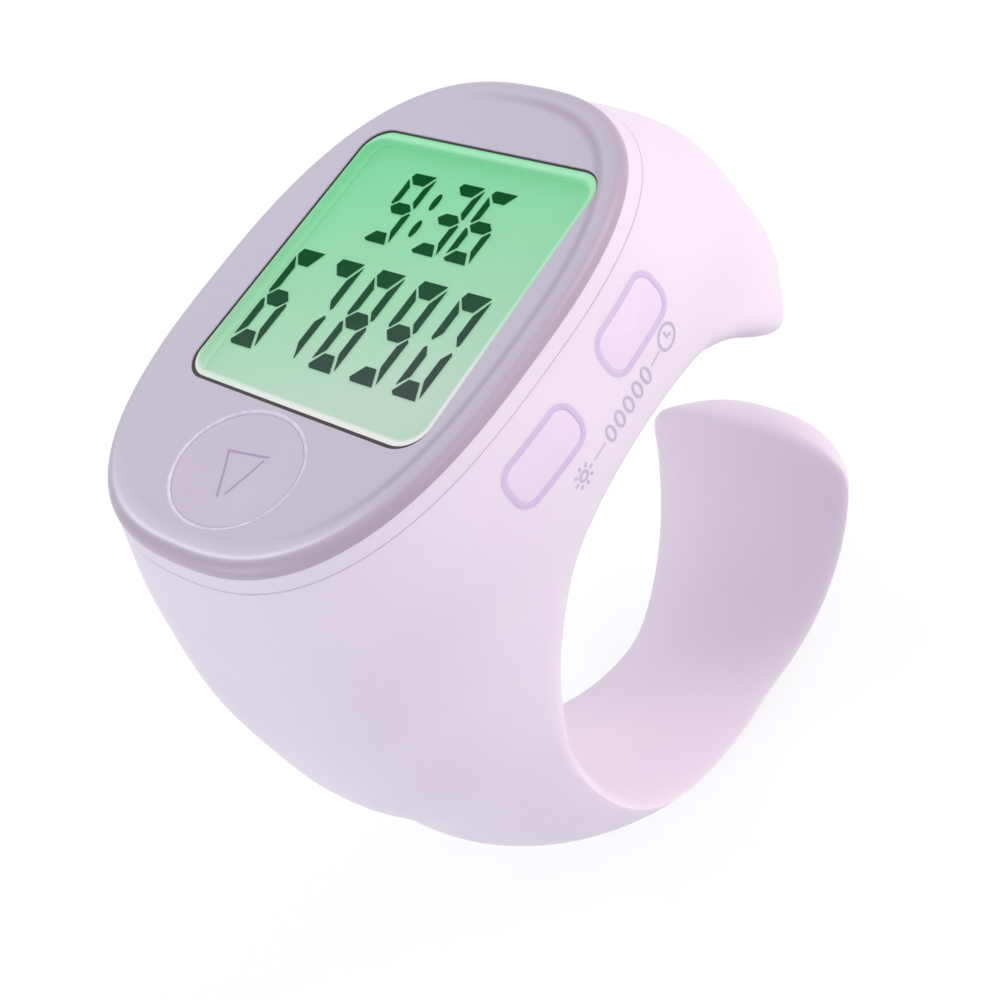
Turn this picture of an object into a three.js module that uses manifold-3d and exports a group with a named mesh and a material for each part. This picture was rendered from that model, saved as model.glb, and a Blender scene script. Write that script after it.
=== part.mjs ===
import * as THREE from "three";
import { mergeVertices } from "three/addons/utils/BufferGeometryUtils.js";
import Module from "manifold-3d";

// A finger tally counter: an open C-shaped ring that swells into a head with a display,
// a count button in the face and two small keys in one side wall.
// Millimetres. The origin is the centre of the finger hole, Y runs along the finger,
// Z points out of the face, and X runs along the face from the count button to the nose.

// Finger hole, an ellipse
const holeWidth = 19.0;
const holeHeight = 21.66;

// What is stacked above the hole, from the finger outwards
const doorThickness = 0.77;
const cellThickness = 1.6;
const contactSpace = 0.7;
const boardThickness = 0.6;
const lightSpace = 2.95;
const glassThickness = 0.45;
const deckThickness = 0.6;
const deckRise = 0.25;
const rimHeight = 0.62;

// Face plate: its size comes from the display and the button in it, for every finger size
const faceLength = 23.51;
const faceWidth = 16.9;
const faceShift = -2.915;
const faceExponent = 2.61;
const rimWidth = 0.72;
const topGap = 0.05;
const plateLip = 0.8;

// Outside of the ring: how far it stands out from the hole, and how wide it is along the finger
const buttonSideDepths = { middle: 5.3, lower: 6.85, upper: 7.15, head: 6.35 };
const noseSideDepths = { middle: 2.9, lower: 6.7, upper: 3.8, head: 2.2 };
const bandWidths = { middle: 15.1, lower: 16.5, upper: 16.7 };
const headBulge = 0.75;
const bandThickness = 1.7;
const soleShift = 2.07;
const soleExponents = { length: 1.68, width: 2.32, corner: 3.0 };
const edgeRounding = 3.05;
const nose = { angle: -67.1, rounding: 5.9 };
const tip = { angle: 252.0, rounding: 2.3 };
const endExponent = 2.8;

// Shell
const wall = 1.2;
const ledgeThickness = 1.0;
const seamDrop = 0.65;
const frameSkirt = { drop: 0.45, thickness: 0.35 };
const shellGap = 0.15;
const fitGap = 0.1;

// Display window and what lies under it
const windowFromNose = 3.6;
const windowY = -0.25;
const windowCorner = 1.2;
const windowLedge = 0.3;
const holderWall = 0.85;
const connectorThickness = 0.8;
const ledSize = { x: 0.8, y: 1.6, z: 1.1 };
const guideThinEnd = 0.55;
const guideThickEnd = 1.6;
const guideFoot = 1.1;
const filmThickness = 0.05;
const filmEdge = 0.05;
const rearGlassCorner = 0.9;

// Parts soldered on the board: sizes, and places from the window's centre
const chipSize = { x: 3.6, y: 4.0, z: 0.7 };
const chipPlace = { x: -1.9, y: 0.4 };
const crystalSize = { x: 1.5, y: 3.2, z: 0.6 };
const crystalPlace = { x: 1.7, y: 3.1 };
const capacitorSize = { x: 0.5, y: 1.0, z: 0.5 };
const capacitorPlaces = { x: 1.6, first: -0.4, second: -1.9 };
const capacitorsByButton = { gap: 0.5, y: 2.4 };
const ledSpacing = 5.2;

// Digits on the display: x is up the digit, y runs against the reading direction
const countRow = { text: "67890", height: 4.95, digit: 1.52, pitch: 2.26, stroke: 0.46, shift: 0.375 };
const timeRow = { text: "9:36", height: 3.6, digit: 1.42, pitch: 1.72, stroke: 0.4, shift: 0.225 };
const rowMargins = { below: 2.0, between: 1.0, above: 1.45, sides: 0.945 };
const colon = { pitch: 0.9, inset: 0.4, length: 0.92, width: 0.34 };
const segmentGap = 0.05;

// Count button
const countButton = { fromEnd: 3.95, y: -0.15, length: 5.1, width: 6.0, travel: 0.4 };
const flangeOverhang = 0.35;
const flangeThickness = 0.4;
const postRadius = 1.0;
const triangle = { base: 1.9, height: 2.0, line: 0.13, depth: 0.12, y: 0.35 };

// Side keys
const keySize = { x: 3.8, z: 1.85, corner: 0.7 };
const keyPlaces = { clock: { x: 1.15, z: 15.9 }, set: { x: -4.85, z: 15.75 } };
const keyTravel = 0.3;
const keyFlange = { overhang: 0.3, thickness: 0.35 };
const keyWall = 1.35;

// Switches on the board
const switchCase = { side: 3.2, height: 1.4, floor: 0.25 };
const sideSwitch = { x: 3.0, y: 1.2, z: 1.5, plungerZ: 0.85, floor: 0.25 };
const plungerRadius = 0.8;
const sidePlungerRadius = 0.38;
const boreGap = 0.1;
const plungerInside = 0.6;
const plungerOutside = 0.5;

// Board, cell, contacts, door and screws
const boardGap = 0.15;
const cellDiameter = 12.5;
const cellGap = 0.2;
const doorLedge = 0.65;
const doorCorner = 1.6;
const doorGap = 0.12;
const doorShell = 1.1;
const screw = { shank: 0.45, head: 0.8, headHeight: 0.5, bite: 1.3, bossWall: 0.55, edge: 1.35 };
const strip = { thickness: 0.2, width: 2.4 };
const leaf = { length: 5.2, flat: 1.5 };
const screwFromCountSwitch = 3.4;

// How finely round forms are divided
const ringStations = 54;
const ringSides = 40;
const contourSides = 60;
const roundSides = 20;

// Levels worked out from the stack
const holeHalf = holeWidth / 2;
const holeTop = holeHeight / 2;
const doorTop = holeTop + doorThickness;
const floorTop = doorTop + ledgeThickness;
const cellBottom = doorTop;
const cellTop = cellBottom + cellThickness;
const boardBottom = cellTop + contactSpace;
const boardTop = boardBottom + boardThickness;
const rearGlassBottom = boardTop + lightSpace;
const deckBottom = rearGlassBottom + glassThickness;
const deckTop = deckBottom + deckThickness;
const plateBottom = deckTop - deckRise;
const faceTop = plateBottom + rimHeight;
const insetTop = faceTop - topGap;
const seam = plateBottom - seamDrop;
const skirtBottom = seam - frameSkirt.drop;
const above = faceTop + 3;
const rowsHeight = countRow.height + rowMargins.between + timeRow.height;
const windowLength = rowMargins.below + rowsHeight + rowMargins.above;
const windowWidth = rowWidth(countRow) + 2 * rowMargins.sides;
const windowX = faceShift + faceLength / 2 - windowFromNose - windowLength / 2;
const countBottom = windowX - windowLength / 2 + rowMargins.below;
const timeBottom = countBottom + countRow.height + rowMargins.between;
const buttonX = faceShift - faceLength / 2 + countButton.fromEnd;

const wasm = await Module();
wasm.setup();

// The width of a row of figures, from its first stroke to its last
function rowWidth(row) {
  const figures = row.text.replace(":", "").length;
  const marks = row.text.length - figures;
  return (figures - 1) * row.pitch + row.digit + marks * colon.pitch;
}

// A closed surface as a solid that can be joined and cut.
function solid(geometry) {
  const bare = geometry.index ? geometry.toNonIndexed() : geometry.clone();
  bare.deleteAttribute("normal");
  bare.deleteAttribute("uv");
  const merged = mergeVertices(bare, 1e-4);
  return new wasm.Manifold(
    new wasm.Mesh({
      numProp: 3,
      vertProperties: new Float32Array(merged.attributes.position.array),
      triVerts: new Uint32Array(merged.index.array),
    }),
  );
}

// A solid back as a surface with flat faces.
function geometryOf(body) {
  const made = body.getMesh();
  const geometry = new THREE.BufferGeometry();
  geometry.setAttribute("position", new THREE.BufferAttribute(new Float32Array(made.vertProperties), 3));
  geometry.setIndex(new THREE.BufferAttribute(new Uint32Array(made.triVerts), 1));
  const flat = geometry.toNonIndexed();
  flat.computeVertexNormals();
  return flat;
}

const root = new THREE.Group();

// Adds one named piece with its colour and finish.
function piece(name, body, color, roughness = 0.5, metalness = 0, opacity = 1) {
  const material = new THREE.MeshStandardMaterial({
    color,
    roughness,
    metalness,
    opacity,
    transparent: opacity < 1,
  });
  const mesh = new THREE.Mesh(geometryOf(body), material);
  mesh.name = name;
  root.add(mesh);
  return mesh;
}

function box(low, high) {
  const size = high.map((value, i) => value - low[i]);
  const geometry = new THREE.BoxGeometry(...size);
  geometry.translate(...low.map((value, i) => value + size[i] / 2));
  return solid(geometry);
}

// A flat outline in X and Y raised from one height to another.
function slab(shape, bottom, top, steps = 12) {
  const geometry = new THREE.ExtrudeGeometry(shape, {
    depth: top - bottom,
    bevelEnabled: false,
    curveSegments: steps,
  });
  geometry.translate(0, 0, bottom);
  return solid(geometry);
}

// An upright cylinder from one height to another.
function post(x, y, radius, bottom, top, sides = roundSides) {
  const geometry = new THREE.CylinderGeometry(radius, radius, top - bottom, sides);
  geometry.rotateX(Math.PI / 2);
  geometry.translate(x, y, (bottom + top) / 2);
  return solid(geometry);
}

function roundedRectangle(x, y, length, width, corner) {
  const shape = new THREE.Shape();
  const halfX = length / 2 - corner;
  const halfY = width / 2 - corner;
  shape.absarc(x + halfX, y + halfY, corner, 0, Math.PI / 2);
  shape.absarc(x - halfX, y + halfY, corner, Math.PI / 2, Math.PI);
  shape.absarc(x - halfX, y - halfY, corner, Math.PI, Math.PI * 1.5);
  shape.absarc(x + halfX, y - halfY, corner, Math.PI * 1.5, Math.PI * 2);
  shape.closePath();
  return shape;
}

function ellipse(x, y, length, width) {
  const shape = new THREE.Shape();
  shape.absellipse(x, y, length / 2, width / 2, 0, Math.PI * 2);
  return shape;
}

function polygon(points) {
  return new THREE.Shape(points.map(([x, y]) => new THREE.Vector2(x, y)));
}

// A smooth curve through points that never swings past them: cubic pieces whose end
// slopes are the harmonic means of the neighbouring chords. The slope at the first point is given.
function smoothThrough(places, values, firstSlope) {
  const chords = values.slice(1).map((v, i) => (v - values[i]) / (places[i + 1] - places[i]));
  const slopes = values.map((_, i) => {
    if (i === 0) return firstSlope;
    if (i === values.length - 1) return chords[i - 1];
    const a = chords[i - 1];
    const b = chords[i];
    return a * b <= 0 ? 0 : (2 * a * b) / (a + b);
  });
  return (place) => {
    const last = places.length - 2;
    let i = places.findIndex((p) => p > place) - 1;
    if (i < 0) i = place <= places[0] ? 0 : last;
    const step = places[i + 1] - places[i];
    const t = (place - places[i]) / step;
    const rise = t * t * (3 - 2 * t);
    return (
      values[i] * (1 - rise) +
      values[i + 1] * rise +
      step * (slopes[i] * t * (1 - t) ** 2 - slopes[i + 1] * t * t * (1 - t))
    );
  };
}

// The outer form of head and band, level by level: its two ends along X, and its half width.
// At the hole's centre they run on smoothly into the sole below it.
const soleDepth = holeTop + bandThickness;
const soleSlope = -soleShift / soleDepth;
const levels = [0, holeTop * 0.44, holeTop * 0.88, (holeTop + seam) / 2, plateBottom];
const buttonEnds = Object.values(buttonSideDepths).map((depth) => -holeHalf - depth);
const noseEnds = Object.values(noseSideDepths).map((depth) => holeHalf + depth);
const halfWidths = Object.values(bandWidths).map((width) => width / 2);
const buttonEnd = smoothThrough(levels, [...buttonEnds, faceShift - faceLength / 2], soleSlope);
const noseEnd = smoothThrough(levels, [...noseEnds, faceShift + faceLength / 2], soleSlope);
const halfWidth = smoothThrough(levels, [...halfWidths, faceWidth / 2 + headBulge, faceWidth / 2], 0);

// The outline at one height: centre, half length, half width and the power of its curve.
function outlineAt(z) {
  const level = Math.min(Math.max(z, 0), plateBottom);
  const left = buttonEnd(level);
  const right = noseEnd(level);
  const down = Math.min(Math.max(-z / soleDepth, 0), 0.9999);
  const shorten = (1 - down ** soleExponents.length) ** (1 / soleExponents.length);
  const narrow = (1 - down ** soleExponents.width) ** (1 / soleExponents.width);
  const turn = Math.min(Math.max(-z / 4, 0), 1);
  return {
    centre: (left + right) / 2 + soleShift * down,
    length: ((right - left) / 2) * shorten,
    width: halfWidth(level) * narrow,
    power: faceExponent + (soleExponents.corner - faceExponent) * turn,
  };
}

function insideOuterForm(x, y, z) {
  if (z <= -soleDepth || z >= above) return false;
  const { centre, length, width, power } = outlineAt(z);
  return (Math.abs(x - centre) / length) ** power + (Math.abs(y) / width) ** power < 1;
}

// The largest distance for which a test holds, found by halving.
function reach(test, low, high) {
  for (let i = 0; i < 26; i++) {
    const middle = (low + high) / 2;
    if (test(middle)) low = middle;
    else high = middle;
  }
  return low;
}

// The lesser of two lengths, with the corner between them rounded.
function roundedLesser(a, b, radius) {
  const t = Math.min(Math.max(0.5 + (0.5 * (b - a)) / radius, 0), 1);
  return b * (1 - t) + a * t - radius * t * (1 - t);
}

// The whole ring as one blank: sections stand on rays from the hole's centre, each bounded
// by the hole on the inside and by the outer form outside, and shrink to a point at both ends.
function ringBlank() {
  const start = THREE.MathUtils.degToRad(nose.angle);
  const end = THREE.MathUtils.degToRad(tip.angle);
  const rayAt = (angle) => {
    const x = -holeHalf * Math.sin(angle);
    const z = holeTop * Math.cos(angle);
    const inner = Math.hypot(x, z);
    const dx = x / inner;
    const dz = z / inner;
    const outer = reach((r) => insideOuterForm(r * dx, 0, r * dz), inner, 45);
    return { dx, dz, inner, outer, centre: (inner + outer) / 2 };
  };
  const distance = (a, b, along) =>
    Math.hypot(b[along] * b.dx - a[along] * a.dx, b[along] * b.dz - a[along] * a.dz);
  const middles = [0];
  const outsides = [0];
  let last = rayAt(start);
  for (let i = 1; i <= 400; i++) {
    const next = rayAt(start + ((end - start) * i) / 400);
    middles.push(middles[i - 1] + distance(last, next, "centre"));
    outsides.push(outsides[i - 1] + distance(last, next, "outer"));
    last = next;
  }
  const whole = middles[400];
  const stepAt = (table, value) => {
    let i = table.findIndex((t) => t > value);
    if (i < 1) i = value <= 0 ? 1 : 400;
    return i - 1 + (value - table[i - 1]) / (table[i] - table[i - 1]);
  };
  const middleAt = (step) => {
    const i = Math.min(Math.floor(step), 399);
    return middles[i] + (middles[i + 1] - middles[i]) * (step - i);
  };
  const rayAfter = (length) => rayAt(start + ((end - start) * stepAt(middles, length)) / 400);
  const endSteps = [0.02, 0.08, 0.2, 0.38, 0.62];
  const stops = endSteps.map((s) => s * nose.rounding);
  const first = outsides[Math.round(stepAt(middles, nose.rounding))];
  const final = outsides[Math.round(stepAt(middles, whole - tip.rounding))];
  for (let i = 0; i <= ringStations; i++) {
    stops.push(middleAt(stepAt(outsides, first + ((final - first) * i) / ringStations)));
  }
  for (const s of endSteps.toReversed()) stops.push(whole - s * tip.rounding);
  const swell = (s) => {
    const t = Math.min(Math.max(s, 0), 1);
    return (1 - (1 - t) ** endExponent) ** (1 / endExponent);
  };
  const points = [];
  const section = (ray, shrink) => {
    const half = outlineAt(ray.centre * ray.dz).width;
    for (let j = 0; j < ringSides; j++) {
      const part = (j / ringSides) * Math.PI * 2;
      const turn = Math.atan2(half * Math.sin(part), (ray.centre - ray.inner) * Math.cos(part));
      const c = Math.cos(turn);
      const s = Math.sin(turn);
      const toHole = c < -1e-3 ? (ray.inner - ray.centre) / c : 99;
      const out = reach(
        (d) => insideOuterForm((ray.centre + d * c) * ray.dx, d * s, (ray.centre + d * c) * ray.dz),
        0,
        30,
      );
      const d = roundedLesser(toHole, out, edgeRounding) * shrink;
      points.push((ray.centre + d * c) * ray.dx, d * s, (ray.centre + d * c) * ray.dz);
    }
  };
  for (const stop of stops) {
    section(rayAfter(stop), swell(stop / nose.rounding) * swell((whole - stop) / tip.rounding));
  }
  for (const ray of [rayAt(start), rayAt(end)]) points.push(ray.centre * ray.dx, 0, ray.centre * ray.dz);
  return closedLoft(points, stops.length, ringSides);
}

// Rings of points joined side by side, and to one point before the first and after the last.
function closedLoft(points, rings, sides) {
  const faces = [];
  const at = (i, j) => i * sides + (j % sides);
  for (let i = 0; i < rings - 1; i++) {
    for (let j = 0; j < sides; j++) {
      faces.push(at(i, j), at(i, j + 1), at(i + 1, j + 1), at(i, j), at(i + 1, j + 1), at(i + 1, j));
    }
  }
  const first = rings * sides;
  for (let j = 0; j < sides; j++) {
    faces.push(first, at(0, j + 1), at(0, j));
    faces.push(first + 1, at(rings - 1, j), at(rings - 1, j + 1));
  }
  const geometry = new THREE.BufferGeometry();
  geometry.setAttribute("position", new THREE.Float32BufferAttribute(points, 3));
  geometry.setIndex(faces);
  const made = solid(geometry);
  if (made.volume() > 0) return made;
  for (let i = 0; i < faces.length; i += 3) faces.splice(i, 3, faces[i], faces[i + 2], faces[i + 1]);
  geometry.setIndex(faces);
  return solid(geometry);
}

// A stack of oval contours, each with its own inset and height, capped at both ends.
function ovalStack(rows, outline) {
  const points = [];
  for (const { inset, z } of rows) {
    const { centre, length, width, power } = outline(z);
    for (let j = 0; j < contourSides; j++) {
      const turn = (j / contourSides) * Math.PI * 2;
      const c = Math.cos(turn);
      const s = Math.sin(turn);
      points.push(
        centre + (length - inset) * Math.sign(c) * Math.abs(c) ** (2 / power),
        (width - inset) * Math.sign(s) * Math.abs(s) ** (2 / power),
        z,
      );
    }
  }
  const { centre } = outline(rows[0].z);
  const last = rows[rows.length - 1];
  points.push(centre, 0, rows[0].z, outline(last.z).centre, 0, last.z);
  return closedLoft(points, rows.length, contourSides);
}

const faceOutline = () => outlineAt(plateBottom);
const seamOutline = () => outlineAt(seam);

const blank = ringBlank();
const lavender = 0xe6dcea;
const plateGrey = 0xc6bed0;

// Places of the side keys: the flat inner face of the wall, and where things start behind it
const keySeat = -(outlineAt(keyPlaces.clock.z).width - keyWall);
const keyBack = keySeat + fitGap + keyFlange.thickness;
const boardEdge = seamOutline().width - wall - boardGap;

// A key's outline, grown by some width, pushed through along Y.
function keyBar({ x, z }, grow, from, to) {
  const shape = roundedRectangle(0, 0, keySize.x + 2 * grow, keySize.z + 2 * grow, keySize.corner + grow);
  const geometry = new THREE.ExtrudeGeometry(shape, {
    depth: to - from,
    bevelEnabled: false,
    curveSegments: 5,
  });
  geometry.rotateX(-Math.PI / 2);
  geometry.translate(x, from, z);
  return solid(geometry);
}

// Screw places
const cellHole = cellDiameter / 2 + cellGap;
const doorLength = 2 * (cellHole + doorLedge);
const doorWidth = doorLength - 2 * fitGap;
const doorScrews = [
  [doorLength / 2 - screw.edge, -(doorWidth / 2 - screw.edge)],
  [-(doorLength / 2 - screw.edge), doorWidth / 2 - screw.edge],
];
const bossRadius = screw.shank + screw.bossWall;
const boardScrews = [
  [buttonX + switchCase.side / 2, countButton.y + switchCase.side / 2 + screwFromCountSwitch],
  [buttonX + switchCase.side / 2, countButton.y - switchCase.side / 2 - screwFromCountSwitch],
  [cellHole + screw.shank + screw.bossWall, 0],
];
const doorScrewSeat = holeTop * 0.84;

// Hollow of the head: the outer form taken in by the wall, from the floor up.
function hollow() {
  const rows = [];
  const count = 6;
  for (let i = 0; i <= count; i++) {
    rows.push({ inset: wall, z: floorTop + ((seam + 0.5 - floorTop) * i) / count });
  }
  return ovalStack(rows, outlineAt);
}

function doorPrism(grow) {
  const shape = roundedRectangle(0, 0, doorLength + 2 * grow, doorWidth + 2 * grow, doorCorner + grow);
  return slab(shape, 0, doorTop, 6);
}

function ringBody() {
  let body = blank.subtract(box([-40, -40, seam], [40, 40, above + 1]));
  body = body.subtract(hollow());
  for (const [x, y] of boardScrews) {
    body = body.add(post(x, y, bossRadius, floorTop - 0.4, boardBottom, 16));
  }
  for (const [x, y] of doorScrews) {
    body = body.add(post(x, y, bossRadius, floorTop - 0.4, doorTop + screw.bite + 0.5, 16));
  }
  body = body.subtract(doorPrism(doorGap));
  body = body.subtract(post(0, 0, cellHole, 0, cellTop + fitGap, 48));
  const notch = strip.width / 2 + fitGap;
  body = body.subtract(box([-notch, cellHole - 1, doorTop - 0.3], [notch, cellHole + 0.8, floorTop + 1]));
  for (const [x, y] of boardScrews) {
    body = body.subtract(post(x, y, screw.shank + 0.06, boardBottom - screw.bite - 0.2, boardTop, 12));
  }
  for (const [x, y] of doorScrews) {
    body = body.subtract(post(x, y, screw.shank + 0.06, doorTop - 1, doorTop + screw.bite + 0.2, 12));
  }
  const reachIn = keyFlange.overhang + 2 * fitGap;
  for (const place of Object.values(keyPlaces)) {
    body = body.subtract(keyBar(place, fitGap, -30, keySeat + 1));
    body = body.subtract(keyBar(place, reachIn, keySeat, keySeat + 3));
  }
  return body;
}

function headFrame() {
  const straight = (inset, bottom, top, outline) =>
    ovalStack(
      [
        { inset, z: bottom },
        { inset, z: top },
      ],
      outline,
    );
  let frame = blank.intersect(box([-40, -40, seam], [40, 40, plateBottom]));
  frame = frame.add(straight(plateLip + fitGap, plateBottom - 0.1, deckTop, faceOutline));
  frame = frame.add(straight(wall + shellGap, skirtBottom, seam + 0.1, seamOutline));
  frame = frame.subtract(
    straight(wall + shellGap + frameSkirt.thickness, skirtBottom - 1, deckBottom, seamOutline),
  );
  const { y, length, width } = countButton;
  const clear = 2 * (flangeOverhang + fitGap);
  const flangeRoom = ellipse(buttonX, y, length + clear, width + clear);
  frame = frame.subtract(slab(flangeRoom, skirtBottom - 1, deckBottom, 20));
  const opening = roundedRectangle(
    windowX,
    windowY,
    windowLength - 2 * windowLedge,
    windowWidth - 2 * windowLedge,
    windowCorner - windowLedge,
  );
  frame = frame.subtract(slab(opening, deckBottom - 1, deckTop + 1, 6));
  return frame.subtract(buttonHole());
}

// Hole for the count button through deck and plate
function buttonHole() {
  const shape = ellipse(
    buttonX,
    countButton.y,
    countButton.length + 2 * fitGap,
    countButton.width + 2 * fitGap,
  );
  return slab(shape, deckBottom - 1, faceTop + 1, 20);
}

function facePlate() {
  const rows = [];
  for (let i = 0; i <= 5; i++) {
    const turn = (i / 5) * (Math.PI / 2);
    rows.push({
      inset: rimWidth * (1 - Math.cos(turn)),
      z: plateBottom + rimHeight * Math.sin(turn),
    });
  }
  let plate = ovalStack(rows, faceOutline);
  const hollow = ovalStack(
    [
      { inset: plateLip, z: plateBottom - 1 },
      { inset: plateLip, z: deckTop },
    ],
    faceOutline,
  );
  plate = plate.subtract(hollow);
  const opening = roundedRectangle(windowX, windowY, windowLength, windowWidth, windowCorner);
  plate = plate.subtract(slab(opening, deckTop - 1, faceTop + 1, 8));
  return plate.subtract(buttonHole());
}

function displayWindow() {
  const shape = roundedRectangle(
    windowX,
    windowY,
    windowLength - 2 * fitGap,
    windowWidth - 2 * fitGap,
    windowCorner - fitGap,
  );
  return slab(shape, deckTop, insetTop, 8);
}

// Extent of the front glass, which fills the deck's opening
const glassLength = windowLength - 2 * windowLedge - 2 * fitGap;
const glassWidth = windowWidth - 2 * windowLedge - 2 * fitGap;
const glassLeft = windowX - glassLength / 2;
const glassRight = windowX + glassLength / 2;
const glassLow = windowY - glassWidth / 2;
const glassHigh = windowY + glassWidth / 2;
const connectorRight = glassLeft + fitGap + connectorThickness;
const guideLeft = connectorRight + 2 * fitGap;
const guideRight = glassRight - ledSize.x - 2 * fitGap;
const guideTop = rearGlassBottom;
const caseFront = keyBack + keyTravel + 0.2;
const guideLow = caseFront + sideSwitch.y + 0.15;
const holderLeft = glassLeft - fitGap - holderWall;

function frontGlass() {
  const corner = windowCorner - windowLedge - fitGap;
  const shape = roundedRectangle(windowX, windowY, glassLength, glassWidth, corner);
  return slab(shape, deckBottom, deckBottom + glassThickness, 5);
}

function rearGlass() {
  const left = guideLeft - fitGap;
  const middle = (left + glassRight) / 2;
  const shape = roundedRectangle(middle, windowY, glassRight - left, glassWidth, rearGlassCorner);
  return slab(shape, rearGlassBottom, deckBottom, 4);
}

// Which of the seven strokes each figure lights: top, the four sides, bottom, middle.
const strokesOf = {
  0: "abcdef",
  3: "abgcd",
  6: "afgedc",
  7: "abc",
  8: "abcdefg",
  9: "abcdfg",
};

// One stroke between two corners of a figure: a bar with pointed ends.
function stroke(from, to, thickness) {
  const along = new THREE.Vector2(to[0] - from[0], to[1] - from[1]).normalize();
  const across = new THREE.Vector2(-along.y, along.x).multiplyScalar(thickness / 2);
  const gap = along.clone().multiplyScalar(segmentGap);
  const point = along.clone().multiplyScalar(thickness / 2);
  const a = new THREE.Vector2(...from).add(gap);
  const b = new THREE.Vector2(...to).sub(gap);
  return new THREE.Shape([
    a,
    a.clone().add(point).sub(across),
    b.clone().sub(point).sub(across),
    b,
    b.clone().sub(point).add(across),
    a.clone().add(point).add(across),
  ]);
}

// The strokes of one row of figures, as outlines.
function rowOutlines(row, bottom) {
  const shapes = [];
  let left = windowY + rowWidth(row) / 2 + row.shift;
  for (const figure of row.text) {
    if (figure === ":") {
      for (const share of [0.3, 0.66]) {
        shapes.push(ellipse(bottom + row.height * share, left - colon.inset, colon.length, colon.width));
      }
      left -= colon.pitch;
      continue;
    }
    const half = row.stroke / 2;
    const low = bottom + half;
    const high = bottom + row.height - half;
    const middle = (low + high) / 2;
    const near = left - half;
    const far = left - row.digit + half;
    const ends = {
      a: [[high, near], [high, far]],
      b: [[high, far], [middle, far]],
      c: [[middle, far], [low, far]],
      d: [[low, near], [low, far]],
      e: [[middle, near], [low, near]],
      f: [[high, near], [middle, near]],
      g: [[middle, near], [middle, far]],
    };
    for (const letter of strokesOf[figure]) shapes.push(stroke(...ends[letter], row.stroke));
    left -= row.pitch;
  }
  return shapes;
}

// A clear film on the front glass with the dark strokes standing on it.
function segmentFilm() {
  const bottom = deckBottom + glassThickness;
  const top = bottom + filmThickness;
  const sheet = roundedRectangle(
    windowX,
    windowY,
    glassLength - 2 * filmEdge,
    glassWidth - 2 * filmEdge,
    windowCorner - windowLedge - fitGap,
  );
  let film = slab(sheet, bottom, top, 5);
  for (const shape of [...rowOutlines(timeRow, timeBottom), ...rowOutlines(countRow, countBottom)]) {
    film = film.add(slab(shape, top - 0.02, deckTop - 0.03, 6));
  }
  return film;
}

// A wedge of clear plastic, thick where the lamps shine in, standing on the board there.
function lightGuide() {
  const profile = polygon([
    [guideLeft, guideTop],
    [guideLeft, guideTop - guideThinEnd],
    [guideRight - guideFoot, guideTop - guideThickEnd],
    [guideRight - guideFoot, boardTop],
    [guideRight, boardTop],
    [guideRight, guideTop],
  ]);
  const width = glassHigh - fitGap - guideLow;
  const geometry = new THREE.ExtrudeGeometry(profile, { depth: width, bevelEnabled: false });
  geometry.rotateX(Math.PI / 2);
  geometry.translate(0, guideLow + width, 0);
  return solid(geometry);
}

// An open frame round the glass, cut away where the side switches stand, with two inner ledges.
function displayHolder() {
  const outerLength = glassLength + 2 * (fitGap + holderWall);
  const outerWidth = glassWidth + 2 * (fitGap + holderWall);
  const outer = roundedRectangle(windowX, windowY, outerLength, outerWidth, 1.5);
  let holder = slab(outer, boardTop, deckBottom, 5);
  const inner = box(
    [glassLeft - fitGap, glassLow - fitGap, boardTop - 1],
    [glassRight + fitGap, glassHigh + fitGap, deckTop],
  );
  const ledge = 0.35;
  const ledgeLow = guideTop - guideThinEnd;
  const bars = [
    [glassLow - fitGap - 0.2, glassLow + ledge],
    [glassHigh - ledge + 0.3, glassHigh + fitGap + 0.2],
  ];
  holder = holder.subtract(inner);
  for (const [low, high] of bars) {
    holder = holder.add(box([guideLeft, low, ledgeLow], [guideRight, high, rearGlassBottom]));
  }
  const inShell = wall + shellGap;
  const inSkirt = inShell + frameSkirt.thickness + 2 * fitGap;
  holder = holder.intersect(
    ovalStack(
      [
        { inset: inShell, z: boardTop - 1 },
        { inset: inShell, z: skirtBottom - fitGap },
        { inset: inSkirt, z: skirtBottom - fitGap },
        { inset: inSkirt, z: deckTop },
      ],
      seamOutline,
    ),
  );
  holder = holder.subtract(box([-40, -40, boardTop - 1], [40, keyBack + keyTravel + fitGap, deckTop]));
  for (const { x } of Object.values(keyPlaces)) {
    const half = sideSwitch.x / 2 + 0.2;
    const behind = caseFront + sideSwitch.y + fitGap;
    const over = boardTop + sideSwitch.z + fitGap;
    holder = holder.subtract(box([x - half, -20, boardTop - 1], [x + half, behind, over]));
  }
  const countHalf = countButton.width / 2 + flangeOverhang + 0.2;
  const lowered = deckBottom - flangeThickness - countButton.travel - 0.3;
  const { y } = countButton;
  return holder.subtract(box([-30, y - countHalf, lowered], [countRight() + 0.15, y + countHalf, deckTop]));
}

// The count button's right edge below the deck
function countRight() {
  return Math.min(buttonX + countButton.length / 2 + flangeOverhang, glassLeft - fitGap - 0.25);
}

function connector() {
  return box(
    [glassLeft + fitGap, windowY - glassWidth * 0.4, boardTop],
    [connectorRight, windowY + glassWidth * 0.4, deckBottom],
  );
}

function circuitBoard() {
  let board = ovalStack(
    [
      { inset: wall + boardGap, z: boardBottom },
      { inset: wall + boardGap, z: boardTop },
    ],
    seamOutline,
  );
  for (const [x, y] of boardScrews) {
    board = board.subtract(post(x, y, screw.shank + 0.15, boardBottom - 1, boardTop + 1, 12));
  }
  return board;
}

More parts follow.
